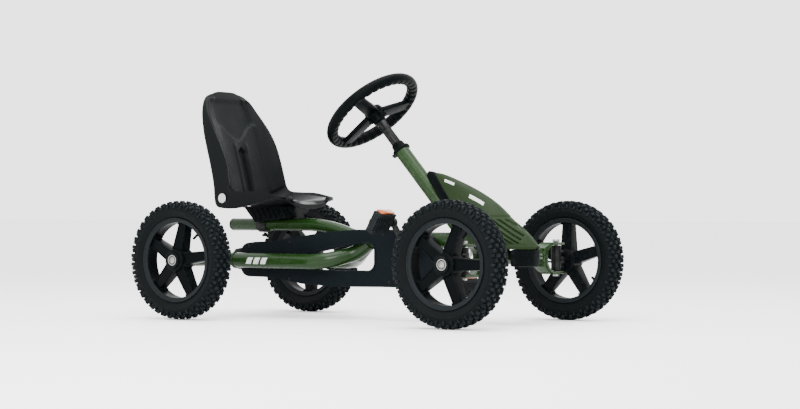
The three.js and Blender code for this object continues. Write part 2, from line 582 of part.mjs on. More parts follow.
// ---------------------------------------------------------------- seat
/** Stations from the pan's front edge over the seat to the back's top: the middle line, the crest of the
 *  right or left edge, and the foot of the skirt that hangs behind that crest. */
const SEAT_STATIONS = [
  { middle: [-205, 297], crest: [-210, 78, 312], skirt: [-211, 76, 305] },
  { middle: [-222, 302], crest: [-214, 112, 316], skirt: [-216, 112, 308] },
  { middle: [-255, 301], crest: [-240, 126, 320], skirt: [-242, 127, 311] },
  { middle: [-300, 298], crest: [-285, 126, 329], skirt: [-292, 128, 299] },
  { middle: [-345, 297], crest: [-335, 125, 331], skirt: [-347, 128, 288] },
  { middle: [-385, 300], crest: [-366, 124, 334], skirt: [-398, 127, 287] },
  { middle: [-403, 316], crest: [-379, 122, 346], skirt: [-424, 126, 298] },
  { middle: [-411, 348], crest: [-386, 120, 372], skirt: [-433, 124, 350] },
  { middle: [-424, 396], crest: [-394, 118, 405], skirt: [-446, 122, 402] },
  { middle: [-439, 446], crest: [-413, 120, 454], skirt: [-459, 123, 452] },
  { middle: [-457, 500], crest: [-438, 119, 498], skirt: [-471, 121, 497] },
  { middle: [-478, 556], crest: [-471, 107, 548], skirt: [-485, 109, 547] },
  { middle: [-489, 587], crest: [-490, 82, 585], skirt: [-496, 83, 584] },
  { middle: [-495, 602], crest: [-496, 40, 600], skirt: [-500, 40, 599] },
];
const SEAT_WALL = 6;
const SEAT_GAP = 0.05; // left between the shell and the bracket that it rests on
const SEAT_HALF_COLUMNS = 7;
const SEAT_ROWS = 21;

/** One row of the seat from its right skirt to its left: the upper face, and the same row set back. */
function seatRow(middle, crest, skirt, back) {
  const face = [];
  const rear = [];
  for (let j = -SEAT_HALF_COLUMNS; j <= SEAT_HALF_COLUMNS; j += 1) {
    const [t, side] = [Math.abs(j) / SEAT_HALF_COLUMNS, Math.sign(j)];
    const rise = 0.35 * t ** 2.4 + 0.65 * t ** 5;
    const p = vec(middle.x + (crest.x - middle.x) * rise, side * crest.y * t, middle.z + (crest.z - middle.z) * rise);
    face.push(p);
    const inward = j === -SEAT_HALF_COLUMNS || j === SEAT_HALF_COLUMNS ? -side * SEAT_WALL : 0;
    rear.push(p.clone().addScaledVector(back, SEAT_WALL).add(vec(0, inward, 0)));
  }
  const hem = (side, inset) => vec(skirt.x, side * (skirt.y - inset), skirt.z);
  return [hem(-1, 0), ...face, hem(1, 0), hem(1, SEAT_WALL), ...rear.reverse(), hem(-1, SEAT_WALL)];
}

/** A moulded bucket of even wall whose edge turns back into a skirt. */
function seatGeometry() {
  const line = (pick) => new THREE.CatmullRomCurve3(SEAT_STATIONS.map(pick));
  const middle = line((s) => vec(s.middle[0], 0, s.middle[1]));
  const crest = line((s) => vec(...s.crest));
  const skirt = line((s) => vec(...s.skirt));
  const rings = Array.from({ length: SEAT_ROWS }, (_, i) => {
    const u = i / (SEAT_ROWS - 1);
    const back = middle.getTangent(u).cross(Y).normalize();
    return seatRow(middle.getPoint(u), crest.getPoint(u), skirt.getPoint(u), back).map((p) => p.toArray());
  });
  return closed(loft(rings, stripCap));
}

function addSeat() {
  const shell = seatGeometry();
  piece('seat_shell', shell, BLACK_SHELL);
  const shape = outline([[-410, 294.5], [-222, 294.5], [-254, 262], [-366, 248]]);
  const web = plateXZ(shape, -36, 36);
  const lowered = shell.clone().translate(0, 0, -SEAT_GAP);
  const tube = rod([-470, 0, SEAT_TUBE_Z], [-150, 0, SEAT_TUBE_Z], SEAT_TUBE_R + GAP);
  const saddle = solid(web).subtract(solid(tube)).subtract(solid(lowered));
  piece('seat_bracket', geometryOf(saddle), DARK_PLASTIC);
  const strap = shaped([block([-372, -21, 222], [-344, 21, 250])], [tube, web]);
  piece('seat_clamp_strap', strap, BLACK_STEEL);
  piece('seat_clamp_knob', rod([-357, 0, 212], [-357, 0, 221.6], 9, 10), DARK_PLASTIC);
}

addSeat();

// ---------------------------------------------------------------- nose
/** Stations along the nose: x, ridge height, half width at the foot, foot height. */
const NOSE_STATIONS = [[173, 372, 36, 186], [216, 366, 41, 186], [270, 347, 49, 186], [325, 323, 58, 186],
  [370, 297, 65, 186], [407, 267, 66, 186], [440, 243, 57, 186], [466, 222, 42, 186], [484, 204, 24, 186], [492, 194, 9, 186]];
const NOSE_WALL = 4;
const NOSE_SLANT_OFFSET = 27; // nose's rear edge in front of the column's axis

function noseSolid(inset) {
  const rings = NOSE_STATIONS.map(([x, ridge, half, foot], i) => {
    const [top, w, low] = [ridge - inset, Math.max(half - inset, 2), foot - (inset > 0 ? 20 : 0)];
    const shoulder = low + (top - low) * 0.72;
    const end = i === NOSE_STATIONS.length - 1 ? -inset : 0;
    const right = [[-w, low], [-w * 0.93, low + (top - low) * 0.4], [-w * 0.62, shoulder], [-w * 0.2, top]];
    return [...right, ...right.map(([a, b]) => [-a, b]).reverse()].map(([y, z]) => [x + end, y, z]);
  });
  return loft(rings);
}

/** Everything behind a line parallel to the steering column, at a distance in front of its axis. */
function behindColumn(offset) {
  const n = vec(Math.sin(rad(COLUMN_LEAN)), 0, Math.cos(rad(COLUMN_LEAN))).multiplyScalar(offset);
  const at = (s) => vec(...columnAt(s)).add(n);
  const [top, foot] = [at(60), at(480)];
  return plateXZ(outline([[top.x, top.z], [foot.x, foot.z], [foot.x - 10, 20], [-60, 20], [-60, top.z]]), -150, 150);
}

function addNose() {
  const outer = solid(noseSolid(0)).subtract(solid(behindColumn(NOSE_SLANT_OFFSET)));
  const column = solid(rod(columnAt(100), columnAt(480), HEAD_TUBE_R + 4));
  const beamArch = solid(block([FRONT_X - 21, -90, 150], [FRONT_X + 21, 90, 191]));
  const shell = outer.subtract(solid(noseSolid(NOSE_WALL))).subtract(column).subtract(beamArch);
  piece('nose_shell', geometryOf(shell), NOSE_GREEN);
  const slab = solid(behindColumn(NOSE_SLANT_OFFSET - GAP)).subtract(solid(behindColumn(NOSE_SLANT_OFFSET - 9)));
  const above = solid(block([160, -80, 246], [360, 80, 400]));
  const trim = slab.intersect(solid(noseSolid(1))).intersect(above).subtract(column);
  piece('nose_rear_trim', geometryOf(trim), DARK_PLASTIC);
  const half = [[447, 54], [468, 39], [483, 24], [489, 8]];
  const plan = outline([...half.map(([x, y]) => [x, -y]), ...half.map(([x, y]) => [x, y]).reverse()]);
  piece('nose_bumper', shaped([plateXY(plan, 143, 186 - GAP)], [rod([430, 0, SWING_Z], [452, 0, SWING_Z], 16, 12)]), DARK_PLASTIC);
}

addNose();

export default kart;
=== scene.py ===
"""Looks for a child's pedal go kart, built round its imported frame.

Lengths are metres in the frame's own axes: X forward, Y to the driver's left, Z up, ground at Z 0.
"""

import json
import logging
import math
from dataclasses import dataclass, field
from enum import Enum

import bmesh
import bpy
from mathutils import Matrix, Vector


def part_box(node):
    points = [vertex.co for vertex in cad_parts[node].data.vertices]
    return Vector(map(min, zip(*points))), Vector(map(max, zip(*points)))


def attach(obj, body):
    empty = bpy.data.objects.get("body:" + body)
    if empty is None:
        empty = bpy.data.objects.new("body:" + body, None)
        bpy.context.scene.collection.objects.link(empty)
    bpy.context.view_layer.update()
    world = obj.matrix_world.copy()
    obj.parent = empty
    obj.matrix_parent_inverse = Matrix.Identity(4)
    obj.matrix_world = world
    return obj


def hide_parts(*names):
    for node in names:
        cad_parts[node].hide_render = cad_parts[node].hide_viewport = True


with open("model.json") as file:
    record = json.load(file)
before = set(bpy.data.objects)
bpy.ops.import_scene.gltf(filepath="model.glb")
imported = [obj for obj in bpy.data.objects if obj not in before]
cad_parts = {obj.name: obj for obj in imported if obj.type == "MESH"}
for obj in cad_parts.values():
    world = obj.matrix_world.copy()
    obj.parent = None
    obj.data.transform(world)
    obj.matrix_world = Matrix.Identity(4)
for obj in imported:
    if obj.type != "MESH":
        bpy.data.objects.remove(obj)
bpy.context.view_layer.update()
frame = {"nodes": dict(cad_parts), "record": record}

log = logging.getLogger("kart")

Profile = list[tuple[float, float]]
Path = list[Vector]
Input = float | bpy.types.NodeSocket


# ---------------------------------------------------------------------------- finishes


def shader_group(name: str, inputs: dict[str, float], outputs: dict[str, str]) -> bpy.types.NodeTree:
    """Makes an empty shader group with its sockets.

    Args:
        name: the group's name.
        inputs: each float input and its default.
        outputs: each output and its socket type.

    Returns:
        The group, with its input and output nodes in place.
    """
    group = bpy.data.node_groups.new(name, "ShaderNodeTree")
    for socket, value in inputs.items():
        made = group.interface.new_socket(socket, in_out="INPUT", socket_type="NodeSocketFloat")
        made.default_value = value
    for socket, kind in outputs.items():
        group.interface.new_socket(socket, in_out="OUTPUT", socket_type=kind)
    group.nodes.new("NodeGroupInput")
    group.nodes.new("NodeGroupOutput")
    return group


def ends(group: bpy.types.NodeTree) -> tuple[bpy.types.Node, bpy.types.Node]:
    """The group's input and output nodes."""
    return group.nodes["Group Input"], group.nodes["Group Output"]


def maths(tree: bpy.types.NodeTree, operation: str, a: Input, b: Input,
          clamp: bool = False) -> bpy.types.NodeSocket:
    """Adds a Math node.

    Args:
        tree: where the node goes.
        operation: the node's operation.
        a: first value, a number or a socket.
        b: second value, a number or a socket.
        clamp: keep the result from 0 to 1.

    Returns:
        The node's output socket.
    """
    node = tree.nodes.new("ShaderNodeMath")
    node.operation = operation
    node.use_clamp = clamp
    for socket, value in zip(node.inputs, (a, b)):
        if isinstance(value, bpy.types.NodeSocket):
            tree.links.new(value, socket)
        else:
            socket.default_value = value
    return node.outputs[0]


def noise(tree: bpy.types.NodeTree, scale: Input, detail: float = 3.0,
          stretch: tuple[float, float, float] | None = None) -> bpy.types.NodeSocket:
    """Adds a Noise node on Object coordinates and returns its Fac output."""
    coordinates = tree.nodes.new("ShaderNodeTexCoord").outputs["Object"]
    if stretch:
        mapping = tree.nodes.new("ShaderNodeMapping")
        mapping.inputs["Scale"].default_value = stretch
        tree.links.new(coordinates, mapping.inputs["Vector"])
        coordinates = mapping.outputs["Vector"]
    node = tree.nodes.new("ShaderNodeTexNoise")
    node.inputs["Detail"].default_value = detail
    tree.links.new(coordinates, node.inputs["Vector"])
    if isinstance(scale, bpy.types.NodeSocket):
        tree.links.new(scale, node.inputs["Scale"])
    else:
        node.inputs["Scale"].default_value = scale
    return node.outputs["Fac"]


def spread(tree: bpy.types.NodeTree, value: bpy.types.NodeSocket, low: float, high: float, to_low: float,
           to_high: float) -> bpy.types.NodeSocket:
    """Adds a Map Range node, clamped, and returns its result."""
    node = tree.nodes.new("ShaderNodeMapRange")
    tree.links.new(value, node.inputs["Value"])
    for socket, number in zip(("From Min", "From Max", "To Min", "To Max"), (low, high, to_low, to_high)):
        node.inputs[socket].default_value = number
    return node.outputs["Result"]


def build_grain_group() -> bpy.types.NodeTree:
    """Moulding grain: a fine height and a slow drift of tone."""
    group = shader_group("surface_grain", {"Scale": 900.0}, {"Height": "NodeSocketFloat", "Drift": "NodeSocketFloat"})
    start, end = ends(group)
    fine = noise(group, start.outputs["Scale"], 2.0)
    coarse = noise(group, 14.0, 4.0)
    waves = noise(group, 60.0, 2.0)
    height = maths(group, "ADD", maths(group, "MULTIPLY", fine, 0.7), maths(group, "MULTIPLY", waves, 0.3))
    group.links.new(height, end.inputs["Height"])
    group.links.new(spread(group, coarse, 0.35, 0.65, 0.0, 1.0), end.inputs["Drift"])
    return group


def build_wear_and_highlight_group() -> bpy.types.NodeTree:
    """Rubbed edges with a painted highlight: the mesh's outward corners, broken up by noise."""
    group = shader_group("edge_wear_and_painted_highlight", {"Amount": 0.5}, {"Mask": "NodeSocketFloat"})
    start, end = ends(group)
    pointed = group.nodes.new("ShaderNodeNewGeometry").outputs["Pointiness"]
    edge = spread(group, pointed, 0.51, 0.60, 0.0, 1.0)
    broken = spread(group, noise(group, 130.0, 5.0), 0.42, 0.62, 0.15, 1.0)
    mask = maths(group, "MULTIPLY", maths(group, "MULTIPLY", edge, broken), start.outputs["Amount"], True)
    group.links.new(mask, end.inputs["Mask"])
    return group


def build_dust_group() -> bpy.types.NodeTree:
    """Fine dust that settles where the surface faces up."""
    group = shader_group("settled_dust", {"Amount": 0.2}, {"Mask": "NodeSocketFloat"})
    start, end = ends(group)
    normal = group.nodes.new("ShaderNodeNewGeometry").outputs["Normal"]
    split = group.nodes.new("ShaderNodeSeparateXYZ")
    group.links.new(normal, split.inputs[0])
    up = spread(group, split.outputs["Z"], 0.1, 1.0, 0.0, 1.0)
    patches = spread(group, noise(group, 35.0, 6.0), 0.4, 0.7, 0.2, 1.0)
    mask = maths(group, "MULTIPLY", maths(group, "MULTIPLY", up, patches), start.outputs["Amount"], True)
    group.links.new(mask, end.inputs["Mask"])
    return group


GRAIN = build_grain_group()
WEAR_AND_HIGHLIGHT = build_wear_and_highlight_group()
DUST = build_dust_group()
DUST_COLOUR = (0.09, 0.094, 0.092, 1.0)


class Relief(Enum):
    """What the fine surface of a finish is like."""

    MOULDED = "moulded"
    PAINTED = "painted"
    PLATED = "plated"
    RUBBER = "rubber"


@dataclass(frozen=True)
class Finish:
    """One finish of the kart: its colours, gloss, grain, and its edge wear with painted highlight."""

    name: str
    slot: str
    colour: tuple[float, float, float]
    drift: tuple[float, float, float]
    # Lighter edge colour: part rubbed wear, part painted highlight.
    worn_and_highlight: tuple[float, float, float]
    roughness: float
    relief: Relief
    metallic: float = 0.0
    grain: float = 900.0
    depth: float = 0.00006
    # How strongly outward edges are lightened, as wear and as painted highlight.
    wear_and_highlight: float = 0.5
    dust: float = 0.12
    coat: float = 0.0
    specular: float = 0.5
    ior: float = 1.45

    def material(self) -> bpy.types.Material:
        """The finish's material, made once and shared."""
        made = bpy.data.materials.get(f"kart_{self.name}")
        return made or self._build()

    def _build(self) -> bpy.types.Material:
        """Wires the colour, roughness and relief of a new material."""
        made = bpy.data.materials.new(f"kart_{self.name}")
        made.use_nodes = True
        tree = made.node_tree
        shader = tree.nodes["Principled BSDF"]
        grain = self._group(tree, GRAIN, "Scale", self.grain)
        wear_and_highlight = self._group(tree, WEAR_AND_HIGHLIGHT, "Amount", self.wear_and_highlight).outputs["Mask"]
        dust = self._group(tree, DUST, "Amount", self.dust).outputs["Mask"]
        base = self._mix(tree, grain.outputs["Drift"], (*self.colour, 1.0), (*self.drift, 1.0))
        if self.relief is Relief.PAINTED:
            base = self._mix(tree, self._flake(tree), base, (*self.worn_and_highlight, 1.0))
        # Outward edges lightened towards the worn colour: part rubbed wear, part painted highlight.
        base = self._mix(tree, wear_and_highlight, base, (*self.worn_and_highlight, 1.0))
        base = self._mix(tree, dust, base, DUST_COLOUR)
        tree.links.new(base, shader.inputs["Base Color"])
        low, high = max(self.roughness - 0.07, 0.05), min(self.roughness + 0.09, 1.0)
        gloss = spread(tree, grain.outputs["Drift"], 0.0, 1.0, low, high)
        dusty = maths(tree, "ADD", gloss, maths(tree, "MULTIPLY", dust, 0.4), True)
        tree.links.new(dusty, shader.inputs["Roughness"])
        shader.inputs["Metallic"].default_value = self.metallic
        shader.inputs["Coat Weight"].default_value = self.coat
        shader.inputs["Coat Roughness"].default_value = 0.12
        shader.inputs["Specular IOR Level"].default_value = self.specular
        shader.inputs["IOR"].default_value = self.ior
        bump = tree.nodes.new("ShaderNodeBump")
        bump.inputs["Distance"].default_value = self.depth
        bump.inputs["Strength"].default_value = 0.8
        tree.links.new(self._height(tree, grain), bump.inputs["Height"])
        tree.links.new(bump.outputs["Normal"], shader.inputs["Normal"])
        return made

    def _height(self, tree: bpy.types.NodeTree, grain: bpy.types.Node) -> bpy.types.NodeSocket:
        """The relief that suits the finish."""
        if self.relief is Relief.PLATED:
            return noise(tree, 420.0, 2.0, (1.0, 0.06, 1.0))
        if self.relief is Relief.RUBBER:
            pits = noise(tree, 300.0, 6.0)
            return maths(tree, "ADD", pits, maths(tree, "MULTIPLY", grain.outputs["Height"], 0.6))
        return grain.outputs["Height"]

    @staticmethod
    def _flake(tree: bpy.types.NodeTree) -> bpy.types.NodeSocket:
        """Sparse bright specks of metallic flake."""
        return spread(tree, noise(tree, 2600.0, 1.0), 0.62, 0.80, 0.0, 0.22)

    @staticmethod
    def _group(tree: bpy.types.NodeTree, group: bpy.types.NodeTree, socket: str, value: float) -> bpy.types.Node:
        """Places a shared group and sets its one input."""
        node = tree.nodes.new("ShaderNodeGroup")
        node.node_tree = group
        node.inputs[socket].default_value = value
        return node

    @staticmethod
    def _mix(tree: bpy.types.NodeTree, factor: bpy.types.NodeSocket, first: bpy.types.NodeSocket | tuple,
             second: bpy.types.NodeSocket | tuple) -> bpy.types.NodeSocket:
        """Mixes two colours, each a socket or four numbers."""
        node = tree.nodes.new("ShaderNodeMix")
        node.data_type = "RGBA"
        tree.links.new(factor, node.inputs["Factor"])
        for socket, value in ((node.inputs[6], first), (node.inputs[7], second)):
            if isinstance(value, bpy.types.NodeSocket):
                tree.links.new(value, socket)
            else:
                socket.default_value = value
        return node.outputs[2]


FRAME_PAINT = Finish("frame_paint", "frame_green", (0.0040, 0.0160, 0.0020), (0.0052, 0.0190, 0.0027),
                     (0.030, 0.060, 0.020), 0.26, Relief.PAINTED, 0.0, 500.0, 0.00002, 0.30, 0.03, 0.12, 0.12)
NOSE_PLASTIC = Finish("nose_plastic", "nose_green", (0.0054, 0.0135, 0.0026), (0.0064, 0.0155, 0.0032),
                      (0.030, 0.050, 0.020), 0.46, Relief.MOULDED, 0.0, 1100.0, 0.00004, 0.30, 0.03, 0.0, 0.10)
SEAT_PLASTIC = Finish("seat_plastic", "seat_black", (0.0002, 0.0008, 0.0010), (0.0004, 0.0011, 0.0013),
                      (0.006, 0.010, 0.011), 0.46, Relief.MOULDED, 0.0, 1300.0, 0.00003, 0.30, 0.01, 0.0, 0.5, 1.17)
COVER_PLASTIC = Finish("cover_plastic", "cover_black", (0.0022, 0.0036, 0.0046), (0.0028, 0.0044, 0.0056),
                       (0.010, 0.013, 0.015), 0.50, Relief.MOULDED, 0.0, 1000.0, 0.00006, 0.35, 0.01, 0.0, 0.03)
TRIM_PLASTIC = Finish("trim_plastic", "trim_black", (0.0003, 0.0009, 0.0011), (0.0006, 0.0013, 0.0016),
                      (0.009, 0.011, 0.012), 0.40, Relief.MOULDED, 0.0, 1200.0, 0.00005, 0.40, 0.01, 0.0, 0.03)
PAD_PLASTIC = Finish("pad_plastic", "trim_black", (0.0035, 0.0046, 0.0054), (0.0043, 0.0056, 0.0064),
                     (0.012, 0.014, 0.015), 0.55, Relief.MOULDED, 0.0, 1200.0, 0.00006, 0.30, 0.02, 0.0, 0.08)
TYRE_RUBBER = Finish("tyre_rubber", "tyre_rubber", (0.0010, 0.0017, 0.0020), (0.0015, 0.0024, 0.0028),
                     (0.008, 0.011, 0.013), 0.60, Relief.RUBBER, 0.0, 700.0, 0.00012, 0.70, 0.02, 0.0, 0.06)
RIM_PLASTIC = Finish("rim_plastic", "rim_grey", (0.0006, 0.0011, 0.0014), (0.0010, 0.0016, 0.0019),
                     (0.012, 0.014, 0.015), 0.42, Relief.MOULDED, 0.0, 900.0, 0.00005, 0.50, 0.01, 0.0, 0.03)
# A lighter copy of the rim plastic for the rim's dished lips: a painted highlight.
RIM_LIP_PAINTED_HIGHLIGHT = Finish("rim_lip_painted_highlight", "rim_grey", (0.0046, 0.0062, 0.0072), (0.0058, 0.0074, 0.0084),
                 (0.020, 0.022, 0.024), 0.50, Relief.MOULDED, 0.0, 900.0, 0.00005, 0.40, 0.01, 0.0, 0.06)
ZINC = Finish("zinc_plate", "bright_steel", (0.20, 0.20, 0.19), (0.26, 0.26, 0.245),
              (0.34, 0.34, 0.33), 0.27, Relief.PLATED, 1.0, 400.0, 0.00003, 0.5, 0.04)
DARK_STEEL = Finish("black_coated_steel", "black_steel", (0.0012, 0.0015, 0.0017), (0.0018, 0.0022, 0.0024),
                    (0.03, 0.03, 0.03), 0.36, Relief.PAINTED, 0.0, 600.0, 0.00003, 0.45, 0.02, 0.0, 0.12)
REFLECTOR = Finish("orange_reflector", "reflector_orange", (0.26, 0.045, 0.004), (0.32, 0.062, 0.006),
                   (0.34, 0.10, 0.015), 0.16, Relief.MOULDED, 0.0, 1600.0, 0.00012, 0.2, 0.02, 0.2)
WHITE_MARK = Finish("white_marking", "bright_steel", (0.46, 0.47, 0.46), (0.42, 0.43, 0.42),
                    (0.30, 0.31, 0.30), 0.35, Relief.MOULDED, 0.0, 900.0, 0.00002, 0.3, 0.03)


# ---------------------------------------------------------------------------- shapes


def toward(direction: Vector, at: Vector = Vector()) -> Matrix:
    """Turns local Z to a direction and moves the local origin to a place."""
    turn = direction.normalized().to_track_quat("Z", "Y").to_matrix().to_4x4()
    return Matrix.Translation(at) @ turn


def facing_side(outward: float, at: Vector) -> Matrix:
    """Local Z to the kart's side, local X forward and local Y up or down, at a place."""
    basis = Matrix(((1.0, 0.0, 0.0), (0.0, 0.0, outward), (0.0, -outward, 0.0))).to_4x4()
    return Matrix.Translation(at) @ basis


def turned(profile: Profile, steps: int = 48) -> bmesh.types.BMesh:
    """Spins a closed profile of radius and height about local Z.

    Args:
        profile: radius and height pairs, the last joined to the first.
        steps: how many steps make the round.

    Returns:
        The turned shape.
    """
    part = bmesh.new()
    verts = [part.verts.new((radius, 0.0, height)) for radius, height in profile]
    edges = [part.edges.new((a, b)) for a, b in zip(verts, verts[1:] + verts[:1]) if a.co.x + b.co.x > 1e-7]
    bmesh.ops.spin(part, geom=verts + edges, cent=(0, 0, 0), axis=(0, 0, 1), angle=math.tau, steps=steps,
                   use_merge=True)
    bmesh.ops.remove_doubles(part, verts=part.verts, dist=1e-6)
    return part


def block(size: tuple[float, float, float], bevel: float = 0.0008, top: float = 1.0,
          segments: int = 2) -> bmesh.types.BMesh:
    """A box about the origin, narrowed towards local +Z and with rounded edges."""
    part = bmesh.new()
    bmesh.ops.create_cube(part, size=1.0, matrix=Matrix.Diagonal((*size, 1.0)))
    upper = [v for v in part.verts if v.co.z > 0]
    bmesh.ops.scale(part, vec=(top, top, 1.0), verts=upper)
    if bevel:
        bmesh.ops.bevel(part, geom=part.edges[:], offset=bevel, affect="EDGES", segments=segments,
                        profile=0.5, material=-1)
    return part


def rod(start: Vector, end: Vector, radius: float, sides: int = 32, bevel: float = 0.0) -> bmesh.types.BMesh:
    """A round bar between two points, with its end rims rounded if asked."""
    part = bmesh.new()
    along = end - start
    bmesh.ops.create_cone(part, cap_ends=True, cap_tris=False, segments=sides, radius1=radius, radius2=radius,
                          depth=along.length, matrix=toward(along, (start + end) / 2))
    if bevel:
        rims = [e for e in part.edges if any(len(f.verts) == sides for f in e.link_faces)]
        bmesh.ops.bevel(part, geom=rims, offset=bevel, affect="EDGES", segments=3, profile=0.5, material=-1)
    return part


def hex_nut(radius: float, height: float) -> bmesh.types.BMesh:
    """A hexagonal nut with rounded corners, on local Z."""
    part = bmesh.new()
    place = Matrix.Translation((0, 0, height / 2))
    bmesh.ops.create_cone(part, cap_ends=True, segments=6, radius1=radius, radius2=radius, depth=height,
                          matrix=place)
    bmesh.ops.bevel(part, geom=part.edges[:], offset=radius * 0.09, affect="EDGES", segments=2, profile=0.5,
                    material=-1)
    return part


def round_path(corners: list[Vector], radius: float, steps: int = 10) -> Path:
    """A line through corners with each inner corner rounded by a bend.

    Args:
        corners: the ends and the corners between them.
        radius: the bend's distance along each leg.
        steps: points in each bend.

    Returns:
        The points of the rounded line.
    """
    points = [corners[0]]
    for before, corner, after in zip(corners, corners[1:], corners[2:]):
        reach = min(radius, (corner - before).length * 0.49, (after - corner).length * 0.49)
        start = corner + (before - corner).normalized() * reach
        end = corner + (after - corner).normalized() * reach
        for i in range(steps + 1):
            t = i / steps
            points.append(start * (1 - t) ** 2 + corner * 2 * t * (1 - t) + end * t ** 2)
    return points + [corners[-1]]


def tube(path: Path, radius: float, sides: int = 32) -> bmesh.types.BMesh:
    """Sweeps a round section along a path, with flat closed ends.

    Args:
        path: the centre line's points.
        radius: the section's radius.
        sides: points round the section.

    Returns:
        The swept tube.
    """
    part = bmesh.new()
    first = (path[1] - path[0]).normalized()
    bmesh.ops.create_circle(part, segments=sides, radius=radius, cap_ends=False, matrix=toward(first, path[0]))
    ring = part.edges[:]
    bmesh.ops.contextual_create(part, geom=ring)
    for i in range(1, len(path)):
        ahead = (path[min(i + 1, len(path) - 1)] - path[i - 1]).normalized()
        before = (path[i] - path[max(i - 2, 0)]).normalized()
        made = bmesh.ops.extrude_edge_only(part, edges=ring)["geom"]
        ring = [g for g in made if isinstance(g, bmesh.types.BMEdge)]
        verts = [g for g in made if isinstance(g, bmesh.types.BMVert)]
        bmesh.ops.translate(part, vec=path[i] - path[i - 1], verts=verts)
        turn = before.rotation_difference(ahead).to_matrix()
        bmesh.ops.rotate(part, cent=path[i], matrix=turn, verts=verts)
    bmesh.ops.contextual_create(part, geom=ring)
    return part


def arc(centre: tuple[float, float], radius: float, start: float, end: float, steps: int = 10) -> Profile:
    """Points of a round stretch, its angles in degrees."""
    angles = [math.radians(start + (end - start) * i / steps) for i in range(steps + 1)]
    return [(centre[0] + radius * math.cos(a), centre[1] + radius * math.sin(a)) for a in angles]


def plate(outline: Profile, low: float, high: float, holes: list[Profile] | None = None, bevel: float = 0.0,
          segments: int = 3) -> bmesh.types.BMesh:
    """A flat plate on local X and Y with holes, and rounded rims on its high face.

    Args:
        outline: the outer edge.
        low: local Z of the back face.
        high: local Z of the front face.
        holes: the edges of the holes.
        bevel: how far the front rims are rounded.
        segments: steps in that rounding.

    Returns:
        The plate.
    """
    part = bmesh.new()
    for loop in [outline, *(holes or [])]:
        verts = [part.verts.new((x, y, low)) for x, y in loop]
        for a, b in zip(verts, verts[1:] + verts[:1]):
            part.edges.new((a, b))
    bmesh.ops.triangle_fill(part, use_beauty=True, use_dissolve=False, edges=part.edges[:])
    made = bmesh.ops.extrude_face_region(part, geom=part.faces[:])["geom"]
    verts = [g for g in made if isinstance(g, bmesh.types.BMVert)]
    bmesh.ops.translate(part, vec=(0, 0, high - low), verts=verts)
    if bevel:
        part.normal_update()
        rims = [e for e in part.edges if all(abs(v.co.z - high) < 1e-7 for v in e.verts)
                and any(abs(f.normal.z) < 0.5 for f in e.link_faces)]
        bmesh.ops.bevel(part, geom=rims, offset=bevel, affect="EDGES", segments=segments, profile=0.5,
                        material=-1, clamp_overlap=True)
    return part


def step(value: float, low: float, high: float) -> float:
    """Rises smoothly from 0 at low to 1 at high."""
    t = min(max((value - low) / (high - low), 0.0), 1.0)
    return t * t * (3 - 2 * t)


def band(value: float, low: float, high: float, soft: float) -> float:
    """1 between low and high, falling to 0 over a soft edge outside them."""
    return step(value, low - soft, low) * (1 - step(value, high, high + soft))


class Form:
    """One piece being made: parts gathered in a bmesh, then placed on a body with its finish."""

    def __init__(self, name: str) -> None:
        """Starts an empty piece of this name."""
        self.name = name
        self.bm = bmesh.new()

    def add(self, part: bmesh.types.BMesh, matrix: Matrix | None = None) -> "Form":
        """Joins a part in, moved by a matrix.

        Args:
            part: the part, which is used up.
            matrix: where it goes, or None where it is already in place.

        Returns:
            The form itself, so that calls can follow each other.
        """
        if matrix is not None:
            bmesh.ops.transform(part, matrix=matrix, verts=part.verts)
        mesh = bpy.data.meshes.new("part")
        part.to_mesh(mesh)
        part.free()
        self.bm.from_mesh(mesh)
        bpy.data.meshes.remove(mesh)
        return self

    def place(self, body: str, finish: Finish, *nodes: str, sharp: float = 34.0) -> bpy.types.Object:
        """Makes the piece's object, rides it on its body and dresses it.

        Args:
            body: the body that it moves with.
            finish: its finish.
            nodes: the CAD nodes that it stands for.
            sharp: edges that turn by more degrees than this stay crisp.

        Returns:
            The object.
        """
        bmesh.ops.recalc_face_normals(self.bm, faces=self.bm.faces)
        for face in self.bm.faces:
            face.smooth = True
        for edge in self.bm.edges:
            edge.smooth = edge.calc_face_angle(0.0) < math.radians(sharp)
        mesh = bpy.data.meshes.new(self.name)
        self.bm.to_mesh(mesh)
        self.bm.free()
        mesh.materials.append(finish.material())
        piece = bpy.data.objects.new(self.name, mesh)
        bpy.context.scene.collection.objects.link(piece)
        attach(piece, body)
        if nodes:
            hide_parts(*nodes)
        log.info("%s: %d faces on %s", self.name, len(mesh.polygons), body)
        return piece


def middle(node: str) -> Vector:
    """The centre of a CAD node's box."""
    low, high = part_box(node)
    return (low + high) / 2


# ---------------------------------------------------------------------------- wheels


